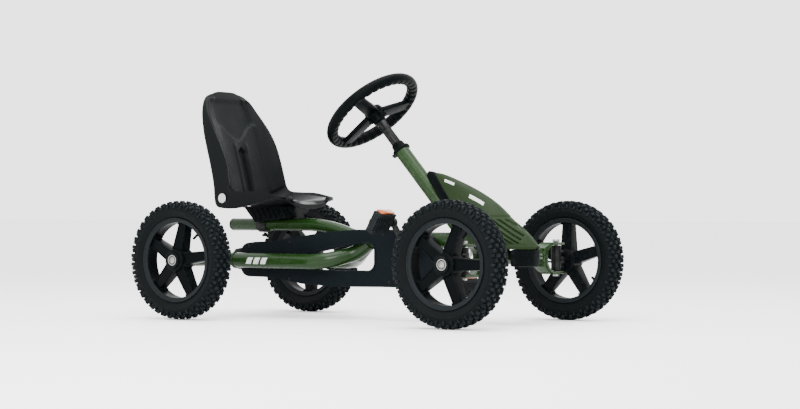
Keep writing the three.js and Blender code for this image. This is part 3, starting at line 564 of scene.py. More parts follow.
@dataclass
class Wheel:
    """A lugged tyre on a spoked plastic rim, with its bearing and valve."""

    place: str
    body: str
    outward: float
    spoke_turn: float
    radius: float = 0.153
    lug_height: float = 0.0066
    pitches: int = 40
    rim_radius: float = 0.113
    spokes: int = 5
    hub_radius: float = 0.029
    hub_face: float = 0.034

    @property
    def matrix(self) -> Matrix:
        """Wheel's own axes: local Z outward along the axle, at its centre."""
        return facing_side(self.outward, middle(f"tyre_{self.place}"))

    def carcass(self) -> bmesh.types.BMesh:
        """The tyre's smooth casing with its moulded sidewall ridges."""
        crown = self.radius - self.lug_height
        side = [(0.1080, 0.0186), (0.1096, 0.0204), (0.1110, 0.0214), (0.1134, 0.0228), (0.1156, 0.0244),
                (0.1184, 0.0250), (0.1196, 0.0259), (0.1250, 0.0270), (0.1258, 0.0277), (0.1270, 0.0277),
                (0.1278, 0.0270), (0.1322, 0.0266), (0.1365, 0.0250), (0.1405, 0.0222), (0.1435, 0.0185),
                (crown - 0.0010, 0.0130), (crown, 0.0065)]
        return turned(side + [(r, -y) for r, y in reversed(side)], 96)

    def lug(self, size: tuple[float, float, float], across: float, twist: float, lean: float, radius: float,
            angle: float) -> tuple[bmesh.types.BMesh, Matrix]:
        """One tread block and where it goes on the casing."""
        part = block(size, 0.0009, 0.84, 1)
        spot = Matrix.Rotation(angle, 4, "Z") @ Matrix.Translation((radius, 0.0, across))
        upright = Matrix.Rotation(math.pi / 2 - lean, 4, "Y")
        return part, spot @ upright @ Matrix.Rotation(twist, 4, "Z")

    def tread(self) -> bmesh.types.BMesh:
        """One pitch of blocks, repeated round the tyre."""
        pitch = math.tau / self.pitches
        form = Form("tread")
        top = self.radius - 0.0044
        for side in (-1.0, 1.0):
            shift = pitch / 2 if side > 0 else 0.0
            centre = self.lug((0.0088, 0.0118, 0.0088), side * 0.0054, side * 0.50, 0.0, top, shift)
            shoulder = self.lug((0.0090, 0.0112, 0.0098), side * 0.0158, side * -0.32, side * 0.26,
                                top - 0.0014, shift + pitch * 0.46)
            edge = self.lug((0.0086, 0.0094, 0.0110), side * 0.0226, side * 0.18, side * 0.72,
                            self.radius - 0.0094, shift + pitch * 0.02)
            knob = self.lug((0.0110, 0.0066, 0.0064), side * 0.0252, 0.0, side * 1.22, self.radius - 0.0150,
                            shift + pitch * 0.52)
            for part, matrix in (centre, shoulder, edge, knob):
                form.add(part, matrix)
        bmesh.ops.spin(form.bm, geom=form.bm.verts[:] + form.bm.edges[:] + form.bm.faces[:], cent=(0, 0, 0),
                       axis=(0, 0, 1), angle=math.tau - pitch, steps=self.pitches - 1, use_duplicate=True)
        return form.bm

    def make_tyre(self) -> None:
        """Casing and tread as one piece."""
        form = Form(f"lugged_tyre_{self.place}")
        form.add(self.carcass(), self.matrix).add(self.tread(), self.matrix)
        form.place(self.body, TYRE_RUBBER, f"tyre_{self.place}", sharp=30.0)

    def barrel(self) -> bmesh.types.BMesh:
        """The rim's deep ring behind its dished lips."""
        r = self.rim_radius
        half = [(r - 0.0152, 0.004), (r - 0.0156, 0.0100), (r - 0.0160, 0.0168), (r - 0.0150, 0.0178),
                (r - 0.0070, 0.0190)]
        return turned(half + [(a, -b) for a, b in reversed(half)], 96)

    def lips(self) -> bmesh.types.BMesh:
        """The dished face outside the barrel and the bead's rolled edge, at each side."""
        r = self.rim_radius
        face = [(r - 0.0154, 0.0176), (r - 0.0156, 0.0194), (r - 0.0146, 0.0202), (r - 0.0076, 0.0220),
                (r - 0.0066, 0.0234), (r - 0.0052, 0.0236), (r - 0.0044, 0.0228), (r - 0.0044, 0.0190)]
        form = Form("lips")
        for side in (-1.0, 1.0):
            form.add(turned([(a, side * b) for a, b in face], 96))
        return form.bm

    def spoke(self) -> bmesh.types.BMesh:
        """A broad hollow-faced spoke along local X, its open face outward."""
        part = bmesh.new()
        reach = (0.020, self.rim_radius - 0.0140)
        size = Matrix.Diagonal((reach[1] - reach[0], 0.027, 0.026, 1.0))
        bmesh.ops.create_cube(part, size=1.0, matrix=Matrix.Translation((sum(reach) / 2, 0, 0.0010)) @ size)
        for vert in part.verts:
            if vert.co.x < 0.05:
                vert.co.y *= 1.18
                vert.co.z += 0.008 if vert.co.z > 0 else -0.002
            elif vert.co.z > 0:
                vert.co.y *= 0.84
        part.normal_update()
        bmesh.ops.bevel(part, geom=part.edges[:], offset=0.0014, affect="EDGES", segments=3, profile=0.5,
                        material=-1)
        part.normal_update()
        face = max(part.faces, key=lambda f: f.normal.z * f.calc_area())
        bmesh.ops.inset_individual(part, faces=[face], thickness=0.0022, depth=0.0)
        bmesh.ops.inset_individual(part, faces=[face], thickness=0.0007, depth=-0.0014)
        return part

    def hub(self) -> bmesh.types.BMesh:
        """The stepped hub with its bearing seat."""
        r, top = self.hub_radius, self.hub_face
        return turned([(0.0144, 0.020), (0.0144, top - 0.0012), (0.0152, top), (0.0190, top), (0.0202, top - 0.0010),
                       (0.0206, top - 0.0040), (0.0225, top - 0.0050), (r - 0.0030, top - 0.0056),
                       (r - 0.0008, top - 0.0068), (r, top - 0.0090), (r + 0.0015, 0.018), (r + 0.0015, -0.018),
                       (r - 0.004, -0.0255), (0.0150, -0.0255), (0.0072, -0.0240), (0.0072, 0.020)], 64)

    def ribs(self) -> bmesh.types.BMesh:
        """Thin webs inside the barrel, one at each side of each spoke's foot."""
        form = Form("ribs")
        for i in range(self.spokes):
            for side in (-1.0, 1.0):
                angle = math.tau * i / self.spokes + side * 0.165
                rib = block((0.0070, 0.0022, 0.028), 0.0005, 1.0, 1)
                spot = Matrix.Rotation(angle, 4, "Z") @ Matrix.Translation((self.rim_radius - 0.0178, 0, -0.002))
                form.add(rib, spot)
        return form.bm

    def make_rim(self) -> None:
        """Barrel, spokes and hub as one moulding; the lips as a piece of their own in a lighter copy of the plastic,
        a painted highlight.
        """
        form = Form(f"spoked_rim_{self.place}")
        turn = math.pi / 2 - math.radians(self.spoke_turn)
        place = self.matrix @ Matrix.Rotation(turn * self.outward * -1.0, 4, "Z")
        form.add(self.barrel(), place).add(self.hub(), place).add(self.ribs(), place)
        for i in range(self.spokes):
            form.add(self.spoke(), place @ Matrix.Rotation(math.tau * i / self.spokes, 4, "Z"))
        lip = turned([(0.0139, 0.0306), (0.0200, 0.0306), (0.0200, 0.0348), (0.0193, 0.0355), (0.0146, 0.0355),
                      (0.0139, 0.0348)], 64)
        form.add(lip, place)
        form.place(self.body, RIM_PLASTIC, f"rim_{self.place}")
        # The lips wear the lighter copy of the rim plastic: a painted highlight on the dished face.
        Form(f"rim_lips_{self.place}").add(self.lips(), place).place(self.body, RIM_LIP_PAINTED_HIGHLIGHT)

    def make_bearing(self) -> None:
        """Outer race, sunk seal and inner race of the wheel bearing."""
        top = 0.0345
        ring = turned([(0.0072, 0.0206), (0.0138, 0.0206), (0.0138, top - 0.0004), (0.0134, top), (0.0112, top),
                       (0.0110, top - 0.0010), (0.0088, top - 0.0010), (0.0086, top), (0.0074, top),
                       (0.0072, top - 0.0003)], 64)
        Form(f"wheel_bearing_{self.place}").add(ring, self.matrix).place(
            self.body, ZINC, f"bearing_{self.place}")
        seal = turned([(0.0080, top - 0.0040), (0.0112, top - 0.0040), (0.0112, top - 0.0004), (0.0108, top - 0.0001),
                       (0.0084, top - 0.0001), (0.0080, top - 0.0004)], 48)
        Form(f"bearing_seal_{self.place}").add(seal, self.matrix).place(self.body, TRIM_PLASTIC)

    def make_valve(self) -> None:
        """The inner tube's valve, standing out of the barrel towards the hub."""
        turn = math.radians(self.spoke_turn) * -self.outward + math.radians(36.0)
        stem = turned([(0.0, 0.0), (0.0036, 0.0), (0.0036, 0.012), (0.0030, 0.014), (0.0034, 0.0145),
                       (0.0034, 0.022), (0.0026, 0.0235), (0.0, 0.0235)], 20)
        spot = Matrix.Rotation(turn, 4, "Z") @ toward(Vector((-1, 0, 0.25)), Vector((0.0985, 0, 0.006)))
        Form(f"tyre_valve_{self.place}").add(stem, self.matrix @ spot).place(self.body, TRIM_PLASTIC)

    def make(self) -> None:
        """All of the wheel's pieces."""
        self.make_tyre()
        self.make_rim()
        self.make_bearing()
        self.make_valve()


# ---------------------------------------------------------------------------- frame


@dataclass
class Column:
    """The steering column's line, from the steering wheel's centre down to its foot."""

    centre: Vector = field(default_factory=lambda: Vector((-0.0045, 0.0, 0.537)))
    lean: float = math.radians(48.5)

    @property
    def direction(self) -> Vector:
        """Down the column."""
        return Vector((math.cos(self.lean), 0.0, -math.sin(self.lean)))

    @property
    def across(self) -> Vector:
        """Square to the column, forward and up."""
        return Vector((math.sin(self.lean), 0.0, math.cos(self.lean)))

    def at(self, distance: float, ahead: float = 0.0, side: float = 0.0) -> Vector:
        """A point down the column, ahead of it and to its side."""
        return self.centre + self.direction * distance + self.across * ahead + Vector((0, side, 0))


COLUMN = Column()


def weld(path_centre: Vector, normal: Vector, radius: float, beads: int = 30) -> bmesh.types.BMesh:
    """A round weld seam of small overlapping beads."""
    part = bmesh.new()
    bead = Matrix.Translation((radius, 0, 0)) @ Matrix.Diagonal((0.9, 1.1, 0.9, 1.0))
    bmesh.ops.create_icosphere(part, subdivisions=1, radius=0.0026, matrix=bead)
    turn = math.tau / beads
    bmesh.ops.spin(part, geom=part.verts[:] + part.edges[:] + part.faces[:], cent=(0, 0, 0), axis=(0, 0, 1),
                   angle=math.tau - turn, steps=beads - 1, use_duplicate=True)
    bmesh.ops.transform(part, matrix=toward(normal, path_centre), verts=part.verts)
    return part


@dataclass
class TubeFrame:
    """The welded frame: bent tubes, head tube, crank shell and front fork."""

    seat_radius: float = 0.0165
    side_radius: float = 0.020
    main_radius: float = 0.020
    axle_radius: float = 0.017
    head_radius: float = 0.019
    seat_height: float = 0.244
    side_height: float = 0.148
    side_y: float = 0.072
    main_height: float = 0.206
    rear_x: float = -0.416
    join_x: float = -0.020

    def make_seat_tube(self) -> None:
        """The upper tube, level under the seat and then bent down to the main tube."""
        end = self.rear_x - 0.0489
        corners = [Vector((end, 0, self.seat_height)), Vector((-0.155, 0, self.seat_height)),
                   Vector((self.join_x - 0.012, 0, self.main_height + 0.001))]
        form = Form("bent_seat_tube").add(tube(round_path(corners, 0.075, 14), self.seat_radius, 40))
        form.add(turned([(0.0118, 0.0), (0.0158, 0.0), (0.0168, -0.0008), (0.0168, -0.0016), (0.0118, -0.0016)], 40),
                 toward(Vector((-1, 0, 0)), Vector((end, 0, self.seat_height))))
        form.place("frame", FRAME_PAINT, "upper_seat_tube")
        cap = turned([(0.0034, -0.005), (0.0120, -0.005), (0.0148, 0.0), (0.0158, 0.0022), (0.0146, 0.0042),
                      (0.0060, 0.0050), (0.0034, 0.0040)], 40)
        at = Vector((end - 0.0005, 0, self.seat_height))
        Form("seat_tube_plug").add(cap, toward(Vector((-1, 0, 0)), at)).place(
            "frame", TRIM_PLASTIC, "seat_tube_end_cap")

    def make_side_tubes(self) -> None:
        """The two lower tubes, straight from the axle and then bent in and up to the main tube."""
        for name, side in (("right", -1.0), ("left", 1.0)):
            y = side * self.side_y
            corners = [Vector((self.rear_x + 0.012, y, self.side_height + 0.002)),
                       Vector((-0.112, y, self.side_height)), Vector((self.join_x - 0.030, side * 0.010, 0.170)),
                       Vector((self.join_x + 0.002, 0, 0.196))]
            form = Form(f"bent_side_tube_{name}").add(tube(round_path(corners, 0.060, 14), self.side_radius, 40))
            form.place("frame", FRAME_PAINT, f"side_tube_{name}")
            low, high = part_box(f"rear_axle_tube_{name}")
            ends_y = (high.y, low.y) if side < 0 else (low.y, high.y)
            start, end = (Vector((self.rear_x, value, 0.153)) for value in ends_y)
            wall = turned([(0.0128, 0.0), (self.axle_radius, 0.0), (self.axle_radius, (end - start).length),
                           (0.0128, (end - start).length)], 40)
            axle = Form(f"rear_axle_housing_{name}").add(wall, toward(end - start, start))
            axle.add(weld(Vector((self.rear_x, y, 0.153)), Vector((1, 0, -0.02)), 0.0205, 32),
                     Matrix.Translation((0.0172, 0, -0.003)))
            axle.place("frame", FRAME_PAINT, f"rear_axle_tube_{name}")
            self._make_race(name, side)

    def _make_race(self, name: str, side: float) -> None:
        """The bearing pressed into one end of the rear axle's housing."""
        out = self.rear_x, side * 0.231, 0.153
        ring = turned([(0.0066, -0.030), (0.0122, -0.030), (0.0122, -0.0004), (0.0118, 0.0), (0.0100, 0.0),
                       (0.0098, -0.001), (0.0080, -0.001), (0.0078, 0.0), (0.0066, 0.0)], 40)
        Form(f"rear_axle_race_{name}").add(ring, facing_side(side, Vector(out))).place(
            "frame", ZINC, f"rear_axle_bearing_{name}")

    def make_main_tube(self) -> None:
        """The middle tube with its weld seams, and the crank's shell under it."""
        low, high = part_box("main_tube")
        start, end = Vector((low.x, 0, self.main_height)), Vector((high.x - 0.004, 0, self.main_height))
        form = Form("centre_tube").add(rod(start, end, self.main_radius, 40, 0.0015))
        form.add(weld(Vector((0.002, 0, self.main_height)), Vector((1, 0, 0)), self.main_radius))
        form.place("frame", FRAME_PAINT, "main_tube")
        crank = middle("bottom_bracket_shell")
        shell_z = 0.168
        ring = turned([(0.0092, -0.020), (0.0172, -0.020), (0.018, -0.0192), (0.018, 0.0192), (0.0172, 0.020),
                       (0.0092, 0.020)], 40)
        bracket = Form("crank_shell").add(ring, facing_side(1.0, Vector((crank.x, 0, shell_z))))
        saddle = block((0.026, 0.024, 0.022), 0.002)
        bracket.add(saddle, Matrix.Translation((crank.x, 0, shell_z + 0.021)))
        bracket.place("frame", FRAME_PAINT, "bottom_bracket_shell")

    def make_head_tube(self) -> None:
        """The head tube, its seams, the clamp collar at its top and the bush at its foot."""
        start, end = COLUMN.at(0.141), COLUMN.at(0.436)
        wall = turned([(0.0142, 0.0), (0.0184, 0.0), (self.head_radius, 0.0006), (self.head_radius, 0.2944),
                       (0.0184, 0.295), (0.0142, 0.295)], 40)
        form = Form("steering_head_tube").add(wall, toward(end - start, start))
        form.add(weld(COLUMN.at(0.425, -0.0165), Vector((-1, 0, 0)), 0.0208))
        form.place("frame", FRAME_PAINT, "head_tube")
        collar = turned([(0.0134, 0.0), (0.0150, 0.0), (0.0162, 0.0016), (0.0170, 0.0100), (0.0178, 0.0140),
                         (0.0205, 0.0158), (0.0230, 0.0176), (0.0238, 0.0196), (0.0238, 0.0236), (0.0228, 0.0250),
                         (0.0134, 0.0250)], 48)
        clamp = Form("column_clamp_collar").add(collar, toward(COLUMN.direction, COLUMN.at(0.1158)))
        clamp.add(block((0.010, 0.012, 0.009), 0.0015), toward(COLUMN.direction, COLUMN.at(0.1342, -0.0235)))
        clamp.place("frame", TRIM_PLASTIC, "column_collar")
        bolt = Form("collar_bolt").add(rod(COLUMN.at(0.1342, -0.0245, -0.0105), COLUMN.at(0.1342, -0.0245, 0.0105),
                                           0.0026, 16, 0.0006))
        bolt.place("frame", DARK_STEEL)
        foot = turned([(0.0106, 0.0), (0.0175, 0.0), (0.018, 0.0006), (0.018, 0.0052), (0.0165, 0.006),
                       (0.0106, 0.006)], 40)
        Form("column_foot_bush").add(foot, toward(COLUMN.direction, COLUMN.at(0.4364))).place(
            "frame", TRIM_PLASTIC, "column_lower_bush")

    def make_front_fork(self) -> None:
        """The welded plates that carry the front axle's swing pin."""
        outline = [(0.262, 0.204), (0.286, 0.224), (0.330, 0.222), (0.376, 0.200), (0.397, 0.200),
                   (0.397, 0.150), (0.381, 0.146), (0.370, 0.178), (0.330, 0.196), (0.290, 0.190)]
        form = Form("front_fork_plates")
        for side in (-1.0, 1.0):
            cut = [(x, -z * side) for x, z in outline]
            form.add(plate(cut, 0.020, 0.025, None, 0.0008, 1), facing_side(side, Vector()))
        form.add(block((0.020, 0.044, 0.015), 0.001), Matrix.Translation((0.328, 0, 0.2065)))
        form.add(block((0.005, 0.044, 0.048), 0.001), Matrix.Translation((0.3905, 0, 0.174)))
        form.place("frame", FRAME_PAINT, "front_fork_bracket")
        pin = Form("swing_bolt").add(rod(Vector((0.378, 0, 0.165)), Vector((0.446, 0, 0.165)), 0.0074, 24))
        pin.add(hex_nut(0.012, 0.007), toward(Vector((1, 0, 0)), Vector((0.4405, 0, 0.165))))
        pin.add(hex_nut(0.012, 0.008), toward(Vector((-1, 0, 0)), Vector((0.3876, 0, 0.165))))
        pin.place("frame", ZINC, "axle_swing_pin")

    def make_markings(self) -> None:
        """Three plain white bars on each side tube."""
        for name, side in (("right", -1.0), ("left", 1.0)):
            form = Form(f"side_tube_bars_{name}")
            for i in range(3):
                bar = bmesh.new()
                bmesh.ops.create_grid(bar, x_segments=4, y_segments=10, size=1.0)
                for vert in bar.verts:
                    across = vert.co.y * 0.42
                    x = -0.338 + i * 0.024 + vert.co.x * 0.0085 + vert.co.y * 0.004
                    r = self.side_radius + 0.0003
                    vert.co = Vector((x, side * (self.side_y + r * math.cos(across)),
                                      self.side_height + 0.0012 + r * math.sin(across)))
                bmesh.ops.solidify(bar, geom=bar.faces[:], thickness=0.0004)
                form.add(bar)
            form.place("frame", WHITE_MARK)

    def make(self) -> None:
        """All of the frame's pieces."""
        self.make_seat_tube()
        self.make_side_tubes()
        self.make_main_tube()
        self.make_head_tube()
        self.make_front_fork()
        self.make_markings()


# ---------------------------------------------------------------------------- chain drive


@dataclass
class Drive:
    """Chain cover, chain, chainring, sprocket and rear axle."""

    rear: tuple[float, float] = (-0.416, 0.153)
    crank: tuple[float, float] = (0.153, 0.168)
    chain_y: float = -0.034
    ring_radius: float = 0.048
    sprocket_radius: float = 0.024
    ring_teeth: int = 24
    cover_face: float = 0.011

    def outline(self, inset: float = 0.0) -> Profile:
        """The cover's edge: a blunt tail that swells to a round front about the crank."""
        tail, high, low = -0.406 + inset, 0.232 - inset, 0.084 + inset
        corner = 0.030 - inset * 0.5
        points = arc((tail + corner, 0.196 - inset - corner), corner, 90, 180, 8)
        points = [(-0.302, 0.200 - inset), (-0.355, 0.1985 - inset), *points]
        points += arc((tail + corner, 0.106 + inset + corner), corner, 180, 270, 8)
        points += [(-0.293, 0.1045 + inset), (-0.200, 0.0895 + inset), (-0.085, low), (0.060, low + 0.002),
                   (0.120, low + 0.002)]
        points += arc((self.crank[0], 0.160), 0.074 - inset, -78, 62, 18)
        points += [(0.130, high - 0.0015), (0.090, high), (-0.020, high), (-0.117, 0.226 - inset)]
        return points

    def window(self, grow: float = 0.0) -> Profile:
        """The window between the chain's two runs."""
        end = 0.022 + grow
        points = [(-0.140, 0.127 - grow)]
        points += arc((0.010, 0.149), end, -90, 0, 8)
        points += arc((0.012, 0.178), 0.020 + grow, 0, 96, 8)
        points += [(-0.060, 0.1905 + grow)]
        points += arc((-0.140, 0.159), 0.016 + grow, 97, 180, 8)
        points += arc((-0.140, 0.143), 0.016 + grow, 180, 262, 8)
        return points

    def _half(self, name: str, node: str, outward: float, finish: Finish) -> None:
        """One half of the cover: its face, its edge wall, and the wall round its window."""
        y0 = Vector((0, self.chain_y, 0))
        place = facing_side(outward, y0)
        flip = [1.0, -outward]

        def cut(points: Profile) -> Profile:
            """The outline in the half's own axes."""
            return [(x * flip[0], z * flip[1]) for x, z in points]

        eye = arc(self.crank, 0.0215, 0, 345, 23)
        form = Form(name)
        form.add(plate(cut(self.outline()), self.cover_face - 0.003, self.cover_face,
                       [cut(self.window()), cut(eye)], 0.0026), place)
        form.add(plate(cut(self.outline()), 0.0002, self.cover_face - 0.0029, [cut(self.outline(0.003))]), place)
        form.add(plate(cut(self.window(0.003)), 0.0002, self.cover_face - 0.0029, [cut(self.window())]), place)
        form.add(plate(cut(self.window(0.0058)), self.cover_face - 0.001, self.cover_face + 0.0016,
                       [cut(self.window(0.0006))], 0.0012, 2), place)
        form.place("frame", finish, node)

    def make_covers(self) -> None:
        """Both halves and the screws that hold them."""
        self._half("chain_case_outer", "chain_cover_outer", -1.0, COVER_PLASTIC)
        self._half("chain_case_inner", "chain_cover_inner", 1.0, TRIM_PLASTIC)
        screws = Form("case_screws")
        for x, z in ((-0.375, 0.187), (-0.240, 0.196), (-0.240, 0.102), (0.060, 0.222), (0.080, 0.098),
                     (0.214, 0.186)):
            head = turned([(0.0, 0.0), (0.0042, 0.0), (0.0042, 0.0010), (0.0034, 0.0018), (0.0018, 0.0019),
                           (0.0016, 0.0006), (0.0, 0.0006)], 20)
            screws.add(head, facing_side(-1.0, Vector((x, self.chain_y - self.cover_face, z))))
        screws.place("frame", DARK_STEEL)

    def _loop(self, count: int) -> list[tuple[Vector, float]]:
        """Evenly spaced places round the chain, with the chain's direction at each."""
        (rx, rz), (cx, cz) = self.rear, self.crank
        small, large = self.sprocket_radius + 0.0006, self.ring_radius + 0.0006
        reach, lean = math.hypot(cx - rx, cz - rz), math.atan2(cz - rz, cx - rx)
        open_angle = math.acos((small - large) / reach)
        run = math.sqrt(reach ** 2 - (large - small) ** 2)
        rear_wrap, front_wrap = math.tau - 2 * open_angle, 2 * open_angle
        lengths = (front_wrap * large, run, rear_wrap * small, run)
        total, places = sum(lengths), []
        for i in range(count):
            s = total * i / count
            if s < lengths[0]:
                angle = lean - open_angle + s / large
                places.append((Vector((cx + large * math.cos(angle), 0, cz + large * math.sin(angle))),
                               angle + math.pi / 2))
                continue
            s -= lengths[0]
            if s < run:
                angle = lean + open_angle
                start = Vector((cx + large * math.cos(angle), 0, cz + large * math.sin(angle)))
                along = angle + math.pi / 2
                places.append((start + Vector((math.cos(along), 0, math.sin(along))) * s, along))
                continue
            s -= run
            if s < lengths[2]:
                angle = lean + open_angle + s / small
                places.append((Vector((rx + small * math.cos(angle), 0, rz + small * math.sin(angle))),
                               angle + math.pi / 2))
                continue
            s -= lengths[2]
            angle = lean - open_angle
            start = Vector((rx + small * math.cos(angle), 0, rz + small * math.sin(angle)))
            along = angle + math.pi / 2
            places.append((start + Vector((math.cos(along), 0, math.sin(along))) * s, along))
        return places

    def make_chain(self) -> None:
        """Rollers and link plates round the sprocket and the chainring."""
        form = Form("roller_chain")
        places = self._loop(108)
        for i, (spot, along) in enumerate(places):
            nearby = places[(i + 1) % len(places)][0]
            centre = Vector((spot.x, self.chain_y, spot.z))
            link = (spot + nearby) / 2
            across = 0.0030 if i % 2 else 0.0020
            turn = Matrix.Rotation(-math.atan2(nearby.z - spot.z, nearby.x - spot.x), 4, "Y")
            for side in (-1.0, 1.0):
                bar = block((0.0190, 0.0009, 0.0066), 0.0, 1.0)
                form.add(bar, Matrix.Translation((link.x, self.chain_y + side * across, link.z)) @ turn)
            form.add(rod(centre - Vector((0, 0.0035, 0)), centre + Vector((0, 0.0035, 0)), 0.0022, 8))
        form.place("frame", DARK_STEEL, "chain")

    def _toothed(self, radius: float, teeth: int, bore: float) -> bmesh.types.BMesh:
        """A toothed disc on local Z."""
        points = []
        for i in range(teeth):
            for share, height in ((0.0, -0.0012), (0.3, 0.0008), (0.5, 0.0030), (0.7, 0.0008)):
                angle = math.tau * (i + share) / teeth
                reach = radius - 0.0030 + height
                points.append((reach * math.cos(angle), reach * math.sin(angle)))
        hole = arc((0, 0), bore, 0, 345, 23)
        return plate(points, -0.0018, 0.0018, [hole], 0.0)

    def make_gears(self) -> None:
        """Chainring, rear sprocket with its brake hub, and the axle shaft with its nuts."""
        ring = Form("toothed_chainring")
        ring.add(self._toothed(self.ring_radius, self.ring_teeth, 0.0085),
                 facing_side(1.0, Vector((self.crank[0], self.chain_y, self.crank[1]))))
        ring.place("crank", DARK_STEEL, "chainring")
        centre = Vector((self.rear[0], 0, self.rear[1]))
        hub = turned([(0.0066, -0.0208), (0.0150, -0.0208), (0.0240, -0.0180), (0.0240, -0.0130), (0.0200, -0.0110),
                      (0.0195, 0.0150), (0.0240, 0.0190), (0.0240, 0.0240), (0.0220, 0.0258), (0.0066, 0.0258)], 48)
        neck = turned([(0.0066, -0.0360), (0.0138, -0.0360), (0.0138, -0.0200), (0.0066, -0.0200)], 32)
        rear = Form("brake_hub").add(hub, facing_side(1.0, centre)).add(neck, facing_side(1.0, centre))
        rear.add(self._toothed(self.sprocket_radius, 12, 0.0068),
                 facing_side(1.0, Vector((centre.x, self.chain_y, centre.z))))
        rear.place("rear_axle", DARK_STEEL, "brake_hub_sprocket")
        ends_at = 0.3044
        shaft = Form("axle_shaft").add(rod(centre - Vector((0, ends_at + 0.003, 0)),
                                           centre + Vector((0, ends_at + 0.003, 0)), 0.0058, 32, 0.0012))
        for side in (-1.0, 1.0):
            shaft.add(hex_nut(0.0078, 0.0040), facing_side(side, centre + Vector((0, side * 0.3046, 0))))
        shaft.place("rear_axle", ZINC, "rear_axle_shaft")

    def make(self) -> None:
        """All of the drive's pieces."""
        self.make_covers()
        self.make_chain()
        self.make_gears()


@dataclass
class Crank:
    """Spindle, crank arms and pedals."""

    centre: Vector = field(default_factory=lambda: Vector((0.153, 0.0, 0.168)))
    pedal_y: float = 0.135
    pedal_size: tuple[float, float, float] = (0.056, 0.072, 0.024)
    pedal_tilt: float = math.radians(-60.0)

    def end(self, name: str) -> Vector:
        """The pedal pin's place on one arm."""
        spot = middle(f"pedal_{name}")
        return Vector((spot.x, 0.0, spot.z))

    def make_arm(self, name: str, side: float) -> None:
        """A forged arm, cranked outward, with its boss and the pedal's pin."""
        end = self.end(name)
        start = self.centre + Vector((0, side * 0.062, 0))
        tip = end + Vector((0, side * 0.084, 0))
        form = Form(f"forged_arm_{name}")
        form.add(tube(round_path([start, start.lerp(tip, 0.25), tip], 0.01, 4), 0.0080, 20))
        form.add(turned([(0.0084, -0.0065), (0.0150, -0.0065), (0.0160, -0.0050), (0.0160, 0.0050),
                         (0.0150, 0.0065), (0.0084, 0.0065)], 40), facing_side(side, start))
        form.add(turned([(0.0, -0.007), (0.0105, -0.007), (0.0118, -0.0055), (0.0118, 0.0055), (0.0105, 0.007),
                         (0.0, 0.007)], 32), facing_side(side, tip))
        form.add(rod(tip, end + Vector((0, side * 0.1675, 0)), 0.0045, 20, 0.001))
        form.place("crank", DARK_STEEL, f"crank_arm_{name}")

    def make_pedal(self, name: str, side: float) -> None:
        """A block pedal: end rails, middle barrel, tread bars and a reflector on its front end."""
        spot = self.end(name) + Vector((0, side * self.pedal_y, 0))
        frame_at = Matrix.Translation(spot) @ Matrix.Rotation(self.pedal_tilt, 4, "Y")
        length, width, height = self.pedal_size
        form = Form(f"block_pedal_{name}")
        for end in (-1.0, 1.0):
            rail = block((0.010, width, height), 0.0020, 0.94)
            form.add(rail, frame_at @ Matrix.Translation((end * (length / 2 - 0.005), 0, 0)))
            cheek = block((length - 0.010, 0.009, height * 0.76), 0.0018)
            form.add(cheek, frame_at @ Matrix.Translation((0, end * (width / 2 - 0.0052), 0)))
        barrel = turned([(0.0052, -width / 2), (0.0110, -width / 2), (0.0110, width / 2), (0.0052, width / 2)], 28)
        form.add(barrel, frame_at @ facing_side(1.0, Vector()))
        for i in (-1.0, 1.0):
            bar = block((0.0046, width - 0.012, height * 0.90), 0.0010, 1.0, 1)
            form.add(bar, frame_at @ Matrix.Translation((i * 0.0145, 0, 0)))
        for i in range(-4, 5):
            for level in (-1.0, 1.0):
                stud = block((length - 0.004, 0.0030, 0.0024), 0.0007, 1.0, 1)
                form.add(stud, frame_at @ Matrix.Translation((0, i * 0.0074, level * (height / 2 - 0.0004))))
        form.place(f"{name}_pedal", PAD_PLASTIC, f"pedal_{name}")
        glass = block((0.0042, 0.056, 0.018), 0.0010)
        lens = Form(f"pedal_lens_{name}").add(glass, frame_at @ Matrix.Translation((0.0305, 0, 0)))
        lens.place(f"{name}_pedal", REFLECTOR, f"pedal_reflector_{name}")

    def make(self) -> None:
        """All of the crank's pieces."""
        bar = Form("crank_axle").add(rod(self.centre - Vector((0, 0.0685, 0)), self.centre + Vector((0, 0.0685, 0)),
                                         0.0079, 32, 0.001))
        for side in (-1.0, 1.0):
            bar.add(hex_nut(0.0085, 0.004), facing_side(side, self.centre + Vector((0, side * 0.0685, 0))))
        bar.place("crank", ZINC, "crank_spindle")
        for name, side in (("right", -1.0), ("left", 1.0)):
            self.make_arm(name, side)
            self.make_pedal(name, side)


# ---------------------------------------------------------------------------- steering


